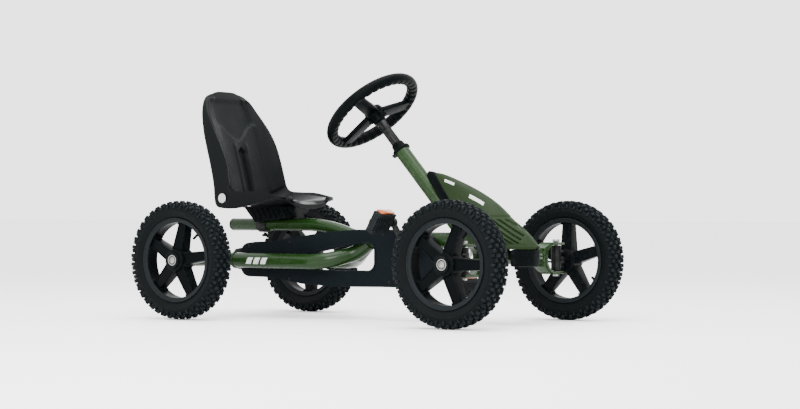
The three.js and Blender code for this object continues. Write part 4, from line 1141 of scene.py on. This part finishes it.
@dataclass
class Steering:
    """Steering wheel with its hub cap, shaft, drop arm and tie rods."""

    ring_radius: float = 0.121
    grip_radius: float = 0.0147
    lean: float = math.radians(41.0)
    grips: int = 36

    @property
    def matrix(self) -> Matrix:
        """Local X up the wheel, local Y left, local Z out of its face."""
        c, s = math.cos(self.lean), math.sin(self.lean)
        basis = Matrix(((c, 0.0, -s), (0.0, 1.0, 0.0), (s, 0.0, c))).to_4x4()
        return Matrix.Translation(COLUMN.centre) @ basis

    def ring(self) -> bmesh.types.BMesh:
        """The rim, with finger grips round its inner and under side."""
        part = bmesh.new()
        round_section = Matrix.Translation((self.ring_radius, 0, 0)) @ Matrix.Rotation(math.pi / 2, 4, "X")
        bmesh.ops.create_circle(part, segments=24, radius=self.grip_radius, matrix=round_section)
        bmesh.ops.spin(part, geom=part.verts[:] + part.edges[:], cent=(0, 0, 0), axis=(0, 0, 1),
                       angle=math.tau, steps=288, use_merge=True)
        for vert in part.verts:
            angle = math.atan2(vert.co.y, vert.co.x)
            spine = Vector((math.cos(angle), math.sin(angle), 0)) * self.ring_radius
            out = vert.co - spine
            inner = step(-out.dot(spine.normalized()) - out.z * 0.9, 0.0, self.grip_radius)
            groove = abs(math.sin(angle * self.grips / 2)) ** 0.6
            vert.co = spine + out * (1 - inner * 0.16 * (1 - groove))
        return part

    def spoke(self, turn: float) -> bmesh.types.BMesh:
        """A broad spoke with a sunk face, from the hub to the rim."""
        part = bmesh.new()
        start, end = 0.018, self.ring_radius - 0.004
        size = Matrix.Diagonal((end - start, 0.036, 0.013, 1.0))
        bmesh.ops.create_cube(part, size=1.0, matrix=Matrix.Translation(((start + end) / 2, 0, -0.007)) @ size)
        for vert in part.verts:
            if vert.co.x > 0.06:
                vert.co.y *= 0.86
                vert.co.z += 0.002
            else:
                vert.co.z -= 0.004
        bmesh.ops.bevel(part, geom=part.edges[:], offset=0.003, affect="EDGES", segments=3, profile=0.5,
                        material=-1)
        part.normal_update()
        face = max(part.faces, key=lambda f: f.normal.z * f.calc_area())
        bmesh.ops.inset_individual(part, faces=[face], thickness=0.0035, depth=0.0)
        bmesh.ops.inset_individual(part, faces=[face], thickness=0.001, depth=-0.0018)
        bmesh.ops.rotate(part, cent=(0, 0, 0), matrix=Matrix.Rotation(turn, 3, "Z"), verts=part.verts)
        return part

    def make_wheel(self) -> None:
        """Rim, three spokes and the hub with its webs."""
        form = Form("moulded_steering_wheel").add(self.ring(), self.matrix)
        for turn in (71.0, -71.0, 180.0):
            form.add(self.spoke(math.radians(turn)), self.matrix)
        hub = turned([(0.0108, -0.0390), (0.0150, -0.0390), (0.0165, -0.0375), (0.0185, -0.0220), (0.0240, -0.0150),
                      (0.0262, -0.0070), (0.0252, -0.0030), (0.0108, -0.0030)], 48)
        form.add(hub, self.matrix)
        for i in range(6):
            web = block((0.010, 0.0024, 0.016), 0.0008, 1.0, 1)
            spot = Matrix.Rotation(math.tau * (i + 0.5) / 6, 4, "Z") @ Matrix.Translation((0.0190, 0, -0.0225))
            form.add(web, self.matrix @ spot @ Matrix.Rotation(math.radians(-24), 4, "Y"))
        form.place("steering", TRIM_PLASTIC, "steering_wheel")
        cap = turned([(0.0, -0.0026), (0.0242, -0.0026), (0.0246, -0.0010), (0.0236, 0.0020), (0.0200, 0.0036),
                      (0.0140, 0.0044), (0.0, 0.0046)], 48)
        Form("hub_disc").add(cap, self.matrix).place("steering", SEAT_PLASTIC, "steering_hub_cap")

    def make_shaft(self) -> None:
        """The sleeved upper shaft and the bare lower one."""
        sleeve = turned([(0.0100, 0.0), (0.0122, 0.0), (0.0128, 0.0010), (0.0128, 0.0760), (0.0122, 0.0772),
                         (0.0100, 0.0772)], 40)
        form = Form("column_shaft").add(sleeve, toward(COLUMN.direction, COLUMN.at(0.0400)))
        form.add(rod(COLUMN.at(0.0445), COLUMN.at(0.470), 0.0099, 32, 0.0008))
        form.place("steering", DARK_STEEL, "steering_shaft")

    def make_linkage(self) -> None:
        """Drop arm with its two studs, and the two tie rods."""
        foot = COLUMN.at(0.4704)
        form = Form("drop_arm_strip")
        form.add(turned([(0.0, 0.0), (0.0130, 0.0), (0.0130, 0.0055), (0.0122, 0.0062), (0.0, 0.0062)], 32),
                 toward(COLUMN.direction, foot))
        arm_end = COLUMN.at(0.4734, -0.034)
        arm = block((0.034, 0.016, 0.005), 0.0012)
        turn = Matrix.Rotation(-(math.pi / 2 - COLUMN.lean), 4, "Y")
        form.add(arm, Matrix.Translation(COLUMN.at(0.4734, -0.017)) @ turn)
        form.add(rod(arm_end + Vector((0, -0.0158, 0)), arm_end + Vector((0, 0.0158, 0)), 0.0038, 20, 0.0008))
        for side in (-1.0, 1.0):
            top = arm_end + Vector((0, side * 0.012, 0))
            form.add(rod(top, top - Vector((0, 0, 0.0195)), 0.0028, 16))
            form.add(hex_nut(0.0044, 0.003), Matrix.Translation(top - Vector((0, 0, 0.0195))))
        form.place("steering", ZINC, "drop_arm")
        for name, side in (("right", -1.0), ("left", 1.0)):
            inner = Vector((arm_end.x, side * 0.012, arm_end.z - 0.0093))
            outer = Vector((0.352, side * 0.206, 0.158))
            along = (outer - inner).normalized()
            link = Form(f"bent_tie_rod_{name}")
            link.add(rod(inner + along * 0.009, outer - along * 0.0078, 0.0034, 20))
            for spot, hole, rim in ((inner, 0.0078, 0.0104), (outer, 0.0045, 0.0090)):
                eye = turned([(hole, -0.0027), (rim - 0.0005, -0.0027), (rim, -0.0020), (rim, 0.0020),
                              (rim - 0.0005, 0.0027), (hole, 0.0027)], 32)
                link.add(eye, Matrix.Translation(spot))
            link.place(f"link_{name}", ZINC, f"tie_rod_{name}")

    def make(self) -> None:
        """All of the steering's pieces."""
        self.make_wheel()
        self.make_shaft()
        self.make_linkage()


@dataclass
class FrontAxle:
    """Swinging beam, fork ends, kingpins and knuckles."""

    x: float = 0.416
    swing_z: float = 0.165
    kingpin_y: float = 0.214

    def make_beam(self) -> None:
        """The beam tube with its cross sleeve."""
        form = Form("axle_beam_tube")
        form.add(rod(Vector((self.x, -0.130, self.swing_z)), Vector((self.x, 0.130, self.swing_z)), 0.017, 40, 0.001))
        sleeve = turned([(0.0081, -0.018), (0.015, -0.018), (0.015, 0.022), (0.0081, 0.022)], 40)
        form.add(sleeve, toward(Vector((1, 0, 0)), Vector((self.x, 0, self.swing_z))))
        for side in (-1.0, 1.0):
            form.add(weld(Vector((self.x, side * 0.129, self.swing_z)), Vector((0, 1, 0)), 0.0172))
        form.place("front_axle", FRAME_PAINT, "front_axle_beam")

    def make_fork(self, name: str, side: float) -> None:
        """A pressed fork end: web and two flanges of bent plate, with its kingpin."""
        outline = [(0.1304, 0.186), (0.150, 0.193), (0.168, 0.200), (0.228, 0.200), (0.230, 0.1985), (0.230, 0.1945),
                   (0.228, 0.193), (0.172, 0.193), (0.158, 0.184), (0.150, 0.176), (0.150, 0.150), (0.158, 0.138),
                   (0.172, 0.127), (0.228, 0.127), (0.230, 0.1255), (0.230, 0.1215), (0.228, 0.120), (0.168, 0.120),
                   (0.150, 0.128), (0.1304, 0.140)]
        place = Matrix(((0.0, 0.0, 1.0), (side, 0.0, 0.0), (0.0, 1.0, 0.0))).to_4x4()
        form = Form(f"pressed_fork_{name}")
        form.add(plate(outline, self.x - 0.016, self.x + 0.016, None, 0.0012, 2), place)
        form.place("front_axle", FRAME_PAINT, f"axle_fork_{name}")
        pin = Form(f"kingpin_bolt_{name}")
        y = side * self.kingpin_y
        pin.add(rod(Vector((self.x, y, 0.115)), Vector((self.x, y, 0.206)), 0.0049, 24, 0.0006))
        pin.add(hex_nut(0.0094, 0.0070), Matrix.Translation((self.x, y, 0.2005)))
        pin.add(hex_nut(0.0086, 0.0058), toward(Vector((0, 0, -1)), Vector((self.x, y, 0.1198))))
        pin.place("front_axle", ZINC, f"kingpin_{name}")

    def make_knuckle(self, name: str, side: float) -> None:
        """Barrel, stub axle, trailing arm and ball of one knuckle."""
        y = side * self.kingpin_y
        form = Form(f"cast_knuckle_{name}")
        form.add(turned([(0.0056, 0.0), (0.0118, 0.0), (0.0130, 0.0014), (0.0130, 0.0626), (0.0118, 0.064),
                         (0.0056, 0.064)], 40), Matrix.Translation((self.x, y, 0.128)))
        hub_at = Vector((self.x, side * 0.246, 0.153))
        boss = turned([(0.0, -0.030), (0.0145, -0.030), (0.0140, -0.012), (0.0118, -0.004), (0.0118, -0.0004),
                       (0.0110, 0.0), (0.0, 0.0)], 32)
        form.add(boss, facing_side(side, hub_at))
        arm = plate([(0.343, -0.0058), (0.408, -0.0066), (0.4165, 0.0), (0.408, 0.0066), (0.343, 0.0058),
                     (0.3405, 0.0)], 0.148, 0.153, None, 0.0009, 2)
        form.add(arm, Matrix.Translation((0, side * 0.206, 0)))
        for level in (0.138, 0.176):
            web = block((0.022, 0.028, 0.004), 0.001)
            form.add(web, Matrix.Translation((self.x, side * 0.222, level)))
        form.place(f"knuckle_{name}", DARK_STEEL, f"steering_knuckle_{name}")
        bright = Form(f"stub_axle_{name}")
        bright.add(rod(Vector((self.x, side * 0.244, 0.153)), Vector((self.x, side * 0.3074, 0.153)),
                       0.0058, 32, 0.0012))
        bright.add(hex_nut(0.0078, 0.0040), facing_side(side, Vector((self.x, side * 0.3046, 0.153))))
        bright.add(rod(Vector((0.352, side * 0.206, 0.1525)), Vector((0.352, side * 0.206, 0.1645)),
                       0.0038, 20, 0.0006))
        bright.place(f"knuckle_{name}", ZINC)

    def make(self) -> None:
        """All of the front axle's pieces."""
        self.make_beam()
        for name, side in (("right", -1.0), ("left", 1.0)):
            self.make_fork(name, side)
            self.make_knuckle(name, side)


# ---------------------------------------------------------------------------- seat


def smooth_line(points: list[tuple[float, ...]], share: float) -> Vector:
    """A point on a smooth line through evenly counted points, from 0 at its start to 1 at its end."""
    last = len(points) - 1
    at = min(max(share, 0.0), 1.0) * last
    i = min(int(at), last - 1)
    t = at - i
    p1, p2 = Vector(points[i]), Vector(points[i + 1])
    p0 = Vector(points[i - 1]) if i > 0 else p1 * 2 - p2
    p3 = Vector(points[i + 2]) if i + 2 <= last else p2 * 2 - p1
    return (p1 * 2 + (p2 - p0) * t + (p0 * 2 - p1 * 5 + p2 * 4 - p3) * t ** 2
            + (p1 * 3 - p0 - p2 * 3 + p3) * t ** 3) * 0.5


@dataclass
class Seat:
    """Bucket shell with turned-down flanks, its bracket, clamp strap and knob."""

    middle_line: list[tuple[float, float, float]] = field(default_factory=lambda: [
        (-0.205, 0, 0.297), (-0.222, 0, 0.302), (-0.255, 0, 0.301), (-0.300, 0, 0.298), (-0.345, 0, 0.297),
        (-0.385, 0, 0.300), (-0.403, 0, 0.316), (-0.411, 0, 0.348), (-0.424, 0, 0.396), (-0.439, 0, 0.446),
        (-0.457, 0, 0.500), (-0.478, 0, 0.556), (-0.489, 0, 0.587), (-0.495, 0, 0.602)])
    crest_line: list[tuple[float, float, float]] = field(default_factory=lambda: [
        (-0.210, 0.078, 0.312), (-0.214, 0.112, 0.316), (-0.240, 0.126, 0.320), (-0.285, 0.126, 0.329),
        (-0.335, 0.125, 0.331), (-0.366, 0.124, 0.334), (-0.379, 0.122, 0.346), (-0.386, 0.120, 0.372),
        (-0.394, 0.118, 0.405), (-0.413, 0.120, 0.454), (-0.438, 0.119, 0.498), (-0.471, 0.107, 0.548),
        (-0.490, 0.082, 0.585), (-0.496, 0.040, 0.600)])
    skirt_line: list[tuple[float, float, float]] = field(default_factory=lambda: [
        (-0.211, 0.076, 0.305), (-0.216, 0.112, 0.308), (-0.242, 0.127, 0.311), (-0.292, 0.128, 0.299),
        (-0.347, 0.128, 0.288), (-0.398, 0.127, 0.287), (-0.424, 0.126, 0.298), (-0.433, 0.124, 0.350),
        (-0.446, 0.122, 0.402), (-0.459, 0.123, 0.452), (-0.471, 0.121, 0.497), (-0.485, 0.109, 0.547),
        (-0.496, 0.083, 0.584), (-0.500, 0.040, 0.599)])
    wall: float = 0.006
    rows: int = 150
    columns: int = 100
    face_share: float = 0.84
    hem_share: float = 0.04

    def surface(self, s: float, c: float) -> Vector:
        """A point on the bare outer surface: s from pan to top, c from right hem to left hem."""
        hem = max(self.hem_share - s, 0.0) / self.hem_share
        s = max(s - self.hem_share, 0.0) / (1 - self.hem_share)
        centre, crest = smooth_line(self.middle_line, s), smooth_line(self.crest_line, s)
        drop = Vector((0.0015, 0.0, -0.0100)) * hem
        side = math.copysign(1.0, c)
        t = min(abs(c) / self.face_share, 1.0)
        rise = 0.35 * t ** 2.4 + 0.65 * t ** 5
        face = Vector((centre.x + (crest.x - centre.x) * rise, side * crest.y * t,
                       centre.z + (crest.z - centre.z) * rise))
        if abs(c) <= self.face_share:
            return face + drop
        skirt = smooth_line(self.skirt_line, s)
        down = (abs(c) - self.face_share) / (1 - self.face_share)
        return face.lerp(Vector((skirt.x, side * skirt.y, skirt.z)), down) + drop * (1 - down)

    def relief(self, point: Vector, s: float, c: float) -> float:
        """How far the moulded detail stands out of the bare surface, towards the sitter."""
        t, back, y, z = abs(c) / self.face_share, step(s, 0.46, 0.54), abs(point.y), point.z
        if t > 1.0 or s < self.hem_share:
            return 0.0
        groove = -0.0095 * step(0.0195 - y, 0.0, 0.006) * band(z, 0.332, 0.444 - y * 0.9, 0.010) * back
        collar = 0.0024 * band(y, 0.0195, 0.027, 0.006) * band(z, 0.335, 0.452, 0.016) * back
        edge = 0.492 - 0.022 * math.cos(min(y / 0.075, 1.0) * math.pi)
        panel = -0.0065 * step(z, edge - 0.002, edge + 0.004) * (1 - step(z, 0.572, 0.582))
        panel *= step(0.082 - y, -0.002, 0.004)
        bolster = 0.0036 * step(t, 0.60, 0.66) * band(s, 0.52, 0.90, 0.03) * (1 - step(t, 0.94, 1.0))
        thigh = 0.0055 * band(t, 0.42, 0.84, 0.14) * (1 - step(s, 0.16, 0.36))
        shown = step(s, self.hem_share, self.hem_share + 0.07)
        return (groove + collar + panel * back + bolster + thigh) * shown

    def make_shell(self) -> None:
        """The moulded bucket with its groove, panels, crest line and flanks."""
        part = bmesh.new()
        bmesh.ops.create_grid(part, x_segments=self.columns, y_segments=self.rows, size=1.0)
        for vert in part.verts:
            c, s = vert.co.x, (vert.co.y + 1) / 2
            if abs(abs(c) - self.face_share) < 0.006:
                c = math.copysign(self.face_share, c)
            point = self.surface(s, c)
            lift = self.relief(point, s, c)
            if lift:
                along = self.surface(min(s + 0.004, 1), c) - self.surface(max(s - 0.004, 0), c)
                across = self.surface(s, c + 0.006) - self.surface(s, c - 0.006)
                point -= along.cross(across).normalized() * lift
            vert.co = point
        bmesh.ops.recalc_face_normals(part, faces=part.faces)
        seat_face = min(part.faces, key=lambda f: (f.calc_center_median() - Vector((-0.30, 0, 0.298))).length)
        if seat_face.normal.z < 0:
            bmesh.ops.reverse_faces(part, faces=part.faces)
        form = Form("bucket_seat").add(part)
        piece = form.place("seat", SEAT_PLASTIC, "seat_shell", sharp=42.0)
        shell = piece.modifiers.new("wall", "SOLIDIFY")
        shell.thickness, shell.offset, shell.use_even_offset = self.wall, -1.0, False
        rounding = piece.modifiers.new("rim", "BEVEL")
        rounding.width, rounding.segments, rounding.limit_method = 0.0022, 3, "ANGLE"
        rounding.angle_limit = math.radians(40)

    def make_bracket(self) -> None:
        """The ribbed block under the seat, its strap round the tube and its knob."""
        outline = [(-0.405, 0.2925), (-0.226, 0.2925), (-0.254, 0.262), (-0.366, 0.250)]
        form = Form("ribbed_seat_bracket")
        form.add(plate([(x, -z) for x, z in reversed(outline)], -0.033, 0.033), facing_side(1.0, Vector()))
        for i in range(8):
            x = -0.376 + i * 0.0170
            top, foot = Vector((x - 0.006, 0, 0.2905)), Vector((x + 0.012, 0, 0.2575 + i * 0.0008))
            for side in (-1.0, 1.0):
                rib = block((0.0028, 0.006, (top - foot).length), 0.0007, 1.0, 1)
                form.add(rib, toward(top - foot, (top + foot) / 2 + Vector((0, side * 0.0335, 0))))
        for side in (-1.0, 1.0):
            flange = block((0.178, 0.009, 0.004), 0.001)
            form.add(flange, Matrix.Translation((-0.3155, side * 0.0325, 0.2906)))
        form.place("seat", TRIM_PLASTIC, "seat_bracket")
        strap = Form("tube_strap")
        wrap = arc((0, 0), 0.0170, 180, 360, 16)
        outer = [(x * 1.22, z * 1.22) for x, z in wrap]
        shape = [(0.021, 0.005), (0.021, 0.001), *outer[::-1], (-0.021, 0.001), (-0.021, 0.005), (-0.0170, 0.005),
                 *wrap, (0.0170, 0.005)]
        turn = Matrix(((0.0, 0.0, 1.0), (1.0, 0.0, 0.0), (0.0, 1.0, 0.0))).to_4x4()
        strap.add(plate(shape, -0.372, -0.344, None, 0.0006, 1), Matrix.Translation((0, 0, 0.244)) @ turn)
        strap.place("seat", DARK_STEEL, "seat_clamp_strap")
        knob = Form("star_knob")
        lobes = [(0.0082 + 0.0010 * math.cos(6 * math.tau * i / 60), math.tau * i / 60) for i in range(60)]
        knob.add(plate([(r * math.cos(a), r * math.sin(a)) for r, a in lobes], -0.0025, 0.0040, None, 0.0012),
                 toward(Vector((0, 0, -1)), Vector((-0.357, 0, 0.2160))))
        knob.add(rod(Vector((-0.357, 0, 0.2160)), Vector((-0.357, 0, 0.2225)), 0.0044, 24))
        knob.place("clamp_knob", TRIM_PLASTIC, "seat_clamp_knob")

    def make_disc(self) -> None:
        """A plain round badge low on each flank."""
        for name, side in (("right", -1.0), ("left", 1.0)):
            disc = turned([(0.0, 0.0), (0.0120, 0.0), (0.0124, 0.0006), (0.0118, 0.0012), (0.0092, 0.0012),
                           (0.0090, 0.0007), (0.0, 0.0007)], 40)
            spot = Vector((-0.401, side * 0.1272, 0.313))
            Form(f"flank_disc_{name}").add(disc, facing_side(side, spot)).place("seat", WHITE_MARK)

    def make(self) -> None:
        """All of the seat's pieces."""
        self.make_shell()
        self.make_bracket()
        self.make_disc()


# ---------------------------------------------------------------------------- nose


@dataclass
class Nose:
    """The wedge-shaped nose shell, its rear trim and its bumper."""

    stations: list[tuple[float, ...]] = field(default_factory=lambda: [
        (0.173, 0.372, 0.036), (0.216, 0.366, 0.041), (0.270, 0.347, 0.049), (0.325, 0.323, 0.058),
        (0.370, 0.297, 0.065), (0.407, 0.267, 0.066), (0.440, 0.243, 0.057), (0.466, 0.222, 0.042),
        (0.484, 0.204, 0.024), (0.492, 0.194, 0.009)])
    across: list[tuple[float, ...]] = field(default_factory=lambda: [
        (-1.0, 0.0), (-0.93, 0.4), (-0.62, 0.72), (-0.2, 1.0), (0.2, 1.0), (0.62, 0.72), (0.93, 0.4), (1.0, 0.0)])
    foot: float = 0.186
    wall: float = 0.003
    crease: float = 0.268
    rear_gap: float = 0.027

    def bare(self, s: float, t: float) -> Vector:
        """A point on the plain wedge: s from rear to front, t from the right foot to the left foot."""
        x, ridge, half = smooth_line(self.stations, s)
        share = smooth_line(self.across, (t + 1) / 2)
        return Vector((x, half * share.x, self.foot + (ridge - self.foot) * share.y))

    def normal(self, s: float, t: float) -> Vector:
        """The outward direction of the plain wedge."""
        along = self.bare(min(s + 0.005, 1), t) - self.bare(max(s - 0.005, 0), t)
        side = self.bare(s, min(t + 0.01, 1)) - self.bare(s, max(t - 0.01, -1))
        out = side.cross(along).normalized()
        return out if out.dot(self.bare(s, t) - Vector((0.33, 0, 0.15))) > 0 else -out

    def relief(self, point: Vector) -> float:
        """The crease, the louvres below it and the hem's band."""
        x, z = point.x, point.z
        flank = 1 - step(z, self.crease - 0.002, self.crease + 0.001)
        below = -0.0016 * flank * step(z, 0.1935, 0.1950)
        across = ((z - self.crease) + 0.61 * (x - 0.40)) / 0.0098
        slot = step(abs(across - round(across)), 0.18, 0.28)
        inside = band(x, 0.362, 0.462, 0.004) * band(z, 0.202, 0.258, 0.003)
        return below - 0.0046 * (1 - slot) * inside

    def make_shell(self) -> None:
        """The thin shell, cut square to the column at its rear, and raised over the axle beam."""
        part = bmesh.new()
        bmesh.ops.create_grid(part, x_segments=210, y_segments=170, size=1.0)
        for vert in part.verts:
            s, t = (vert.co.x + 1) / 2, vert.co.y
            point, out = self.bare(s, t), self.normal(s, t)
            point += out * self.relief(point)
            point.z += 0.005 * band(point.x, 0.395, 0.437, 0.003) * (1 - step(point.z, 0.186, 0.196))
            vert.co = point
        bmesh.ops.bisect_plane(part, geom=part.verts[:] + part.edges[:] + part.faces[:], clear_inner=True,
                               plane_co=COLUMN.at(0.3, self.rear_gap), plane_no=COLUMN.across)
        bmesh.ops.recalc_face_normals(part, faces=part.faces)
        if max(part.faces, key=lambda f: f.calc_center_median().z).normal.z < 0:
            bmesh.ops.reverse_faces(part, faces=part.faces)
        bmesh.ops.solidify(part, geom=part.faces[:], thickness=self.wall)
        Form("wedge_nose").add(part).place("frame", NOSE_PLASTIC, "nose_shell", sharp=40.0)

    def rear_edge(self, t: float, gap: float) -> Vector:
        """Where the wedge meets a plane in front of the column and parallel to it."""
        low, high = 0.0, 0.7
        for _ in range(30):
            s = (low + high) / 2
            if (self.bare(s, t) - COLUMN.centre).dot(COLUMN.across) < gap:
                low = s
            else:
                high = s
        return self.bare((low + high) / 2, t)

    def make_trim(self) -> None:
        """The dark rounded collar at the shell's rear."""
        layers = ((0.0196, -0.0030), (0.0200, -0.0004), (0.0222, 0.0020), (0.0280, 0.0030), (0.0360, 0.0028),
                  (0.0400, 0.0016), (0.0412, -0.0010))
        reach = max(i / 40 for i in range(41) if self.rear_edge(i / 40, self.rear_gap).z >= 0.240)
        part = bmesh.new()
        bmesh.ops.create_grid(part, x_segments=6, y_segments=96, size=1.0)
        for vert in part.verts:
            gap, out = layers[round((vert.co.x + 1) * 3)]
            point = self.rear_edge(vert.co.y * reach, max(gap, self.rear_gap))
            away = point - Vector((point.x, 0, 0.250))
            away -= COLUMN.across * away.dot(COLUMN.across)
            vert.co = point + away.normalized() * out + COLUMN.across * min(gap - self.rear_gap, 0.0)
        bmesh.ops.solidify(part, geom=part.faces[:], thickness=0.0022)
        back = []
        for i in range(81):
            point = self.rear_edge((i / 40 - 1) * reach, self.rear_gap) - COLUMN.centre
            back.append((point.y, -point.dot(COLUMN.direction)))
        basis = Matrix((Vector((0, 1, 0)), -COLUMN.direction, COLUMN.across)).transposed().to_4x4()
        form = Form("nose_collar").add(part)
        form.add(plate(back, 0.0205, 0.0262), Matrix.Translation(COLUMN.centre) @ basis)
        form.place("frame", TRIM_PLASTIC, "nose_rear_trim")

    def make_bumper(self) -> None:
        """The rounded bumper under the shell's front end."""
        half = [(0.447, 0.054), (0.458, 0.0475), (0.468, 0.039), (0.477, 0.031), (0.483, 0.023), (0.4875, 0.0145),
                (0.489, 0.007)]
        outline = half + [(x, -y) for x, y in reversed(half)]
        part = plate(outline, 0.143, 0.1854)
        part.normal_update()
        rims = [e for e in part.edges if abs(e.verts[0].co.z - e.verts[1].co.z) < 1e-6
                and e.calc_face_angle(0.0) > 1.0]
        bmesh.ops.bevel(part, geom=rims, offset=0.0045, affect="EDGES", segments=4, profile=0.5, material=-1)
        Form("rounded_bumper").add(part).place("frame", TRIM_PLASTIC, "nose_bumper", sharp=40.0)

    def make_dash(self) -> None:
        """Two plain white dashes along each flank."""
        for name, side in (("right", -1.0), ("left", 1.0)):
            form = Form(f"nose_dashes_{name}")
            for s0, t0, long, wide in ((0.345, 0.27, 0.050, 0.028), (0.165, 0.20, 0.030, 0.022)):
                part = bmesh.new()
                bmesh.ops.create_grid(part, x_segments=20, y_segments=6, size=1.0)
                for vert in part.verts:
                    s, t = s0 + vert.co.x * long, side * (t0 - vert.co.y * wide)
                    vert.co = self.bare(s, t) + self.normal(s, t) * 0.0006
                bmesh.ops.solidify(part, geom=part.faces[:], thickness=0.0004)
                form.add(part)
            form.place("frame", WHITE_MARK)

    def make(self) -> None:
        """All of the nose's pieces."""
        self.make_shell()
        self.make_trim()
        self.make_bumper()
        self.make_dash()


# ---------------------------------------------------------------------------- stage


@dataclass
class Studio:
    """Pale floor, soft lights and the camera."""

    camera_at: Vector = field(default_factory=lambda: Vector((3.17335, -4.41757, 0.27210)))
    azimuth: float = math.radians(34.987)
    elevation: float = math.radians(-0.2535)
    lens: float = 95.15

    def make_camera(self) -> None:
        """A long lens at axle height, to the kart's right front."""
        data = bpy.data.cameras.new("view")
        data.sensor_width = 36.0
        data.lens = self.lens
        data.clip_end = 100.0
        camera = bpy.data.objects.new("view", data)
        back = Vector((math.sin(self.azimuth) * math.cos(self.elevation),
                       -math.cos(self.azimuth) * math.cos(self.elevation), math.sin(self.elevation)))
        camera.location = self.camera_at
        camera.rotation_mode = "QUATERNION"
        camera.rotation_quaternion = (-back).to_track_quat("-Z", "Y")
        bpy.context.scene.collection.objects.link(camera)
        bpy.context.scene.camera = camera

    def make_floor(self) -> None:
        """A wide plain floor."""
        part = bmesh.new()
        bmesh.ops.create_grid(part, x_segments=2, y_segments=2, size=60.0)
        mesh = bpy.data.meshes.new("floor")
        part.to_mesh(mesh)
        part.free()
        floor = bpy.data.objects.new("floor", mesh)
        material = bpy.data.materials.new("pale_floor")
        material.use_nodes = True
        shader = material.node_tree.nodes["Principled BSDF"]
        shader.inputs["Base Color"].default_value = (0.92, 0.92, 0.92, 1.0)
        shader.inputs["Roughness"].default_value = 0.6
        mesh.materials.append(material)
        bpy.context.scene.collection.objects.link(floor)

    def make_lights(self) -> None:
        """A broad top light, a key from the right front, a rim light behind, and a bright room."""
        world = bpy.data.worlds.new("room")
        world.use_nodes = True
        background = world.node_tree.nodes["Background"]
        background.inputs["Color"].default_value = (1.0, 1.0, 1.0, 1.0)
        background.inputs["Strength"].default_value = 3.0
        bpy.context.scene.world = world
        for name, at, size, power in (("top", (0.2, -0.3, 2.6), 2.2, 110.0), ("key", (1.2, -2.6, 1.7), 1.4, 90.0),
                                      ("left_back", (-1.8, 2.2, 1.6), 1.2, 12.0)):
            data = bpy.data.lights.new(name, "AREA")
            data.size = size
            data.energy = power
            light = bpy.data.objects.new(name, data)
            light.location = at
            light.rotation_mode = "QUATERNION"
            aim = Vector((0, 0, 0.2)) - Vector(at)
            light.rotation_quaternion = aim.to_track_quat("-Z", "Y")
            bpy.context.scene.collection.objects.link(light)

    def make(self) -> None:
        """Camera, floor and lights."""
        self.make_camera()
        self.make_floor()
        self.make_lights()


def dress_cad_nodes() -> None:
    """Gives every CAD node that still shows the finish of its slot."""
    finishes = {f.slot: f for f in (FRAME_PAINT, NOSE_PLASTIC, SEAT_PLASTIC, COVER_PLASTIC, TRIM_PLASTIC, TYRE_RUBBER,
                                    RIM_PLASTIC, ZINC, DARK_STEEL, REFLECTOR)}
    slots = {s["node"]: s["material_slot"] for s in frame["record"]["subparts"]}
    for name, node in frame["nodes"].items():
        node.data.materials.clear()
        node.data.materials.append(finishes[slots[name]].material())
        if not node.hide_render:
            log.info("CAD node %s shows", name)


def main() -> None:
    """Builds the kart's pieces in order."""
    logging.basicConfig(level=logging.INFO, format="%(message)s")
    Studio().make()
    for wheel in (Wheel("rear_right", "wheel_rear_right", -1.0, 10.0), Wheel("rear_left", "rear_axle", 1.0, 34.0),
                  Wheel("front_right", "wheel_front_right", -1.0, 18.0),
                  Wheel("front_left", "wheel_front_left", 1.0, 2.0)):
        wheel.make()
    TubeFrame().make()
    Drive().make()
    Crank().make()
    Steering().make()
    FrontAxle().make()
    Seat().make()
    Nose().make()
    dress_cad_nodes()


if __name__ == "__main__":
    main()
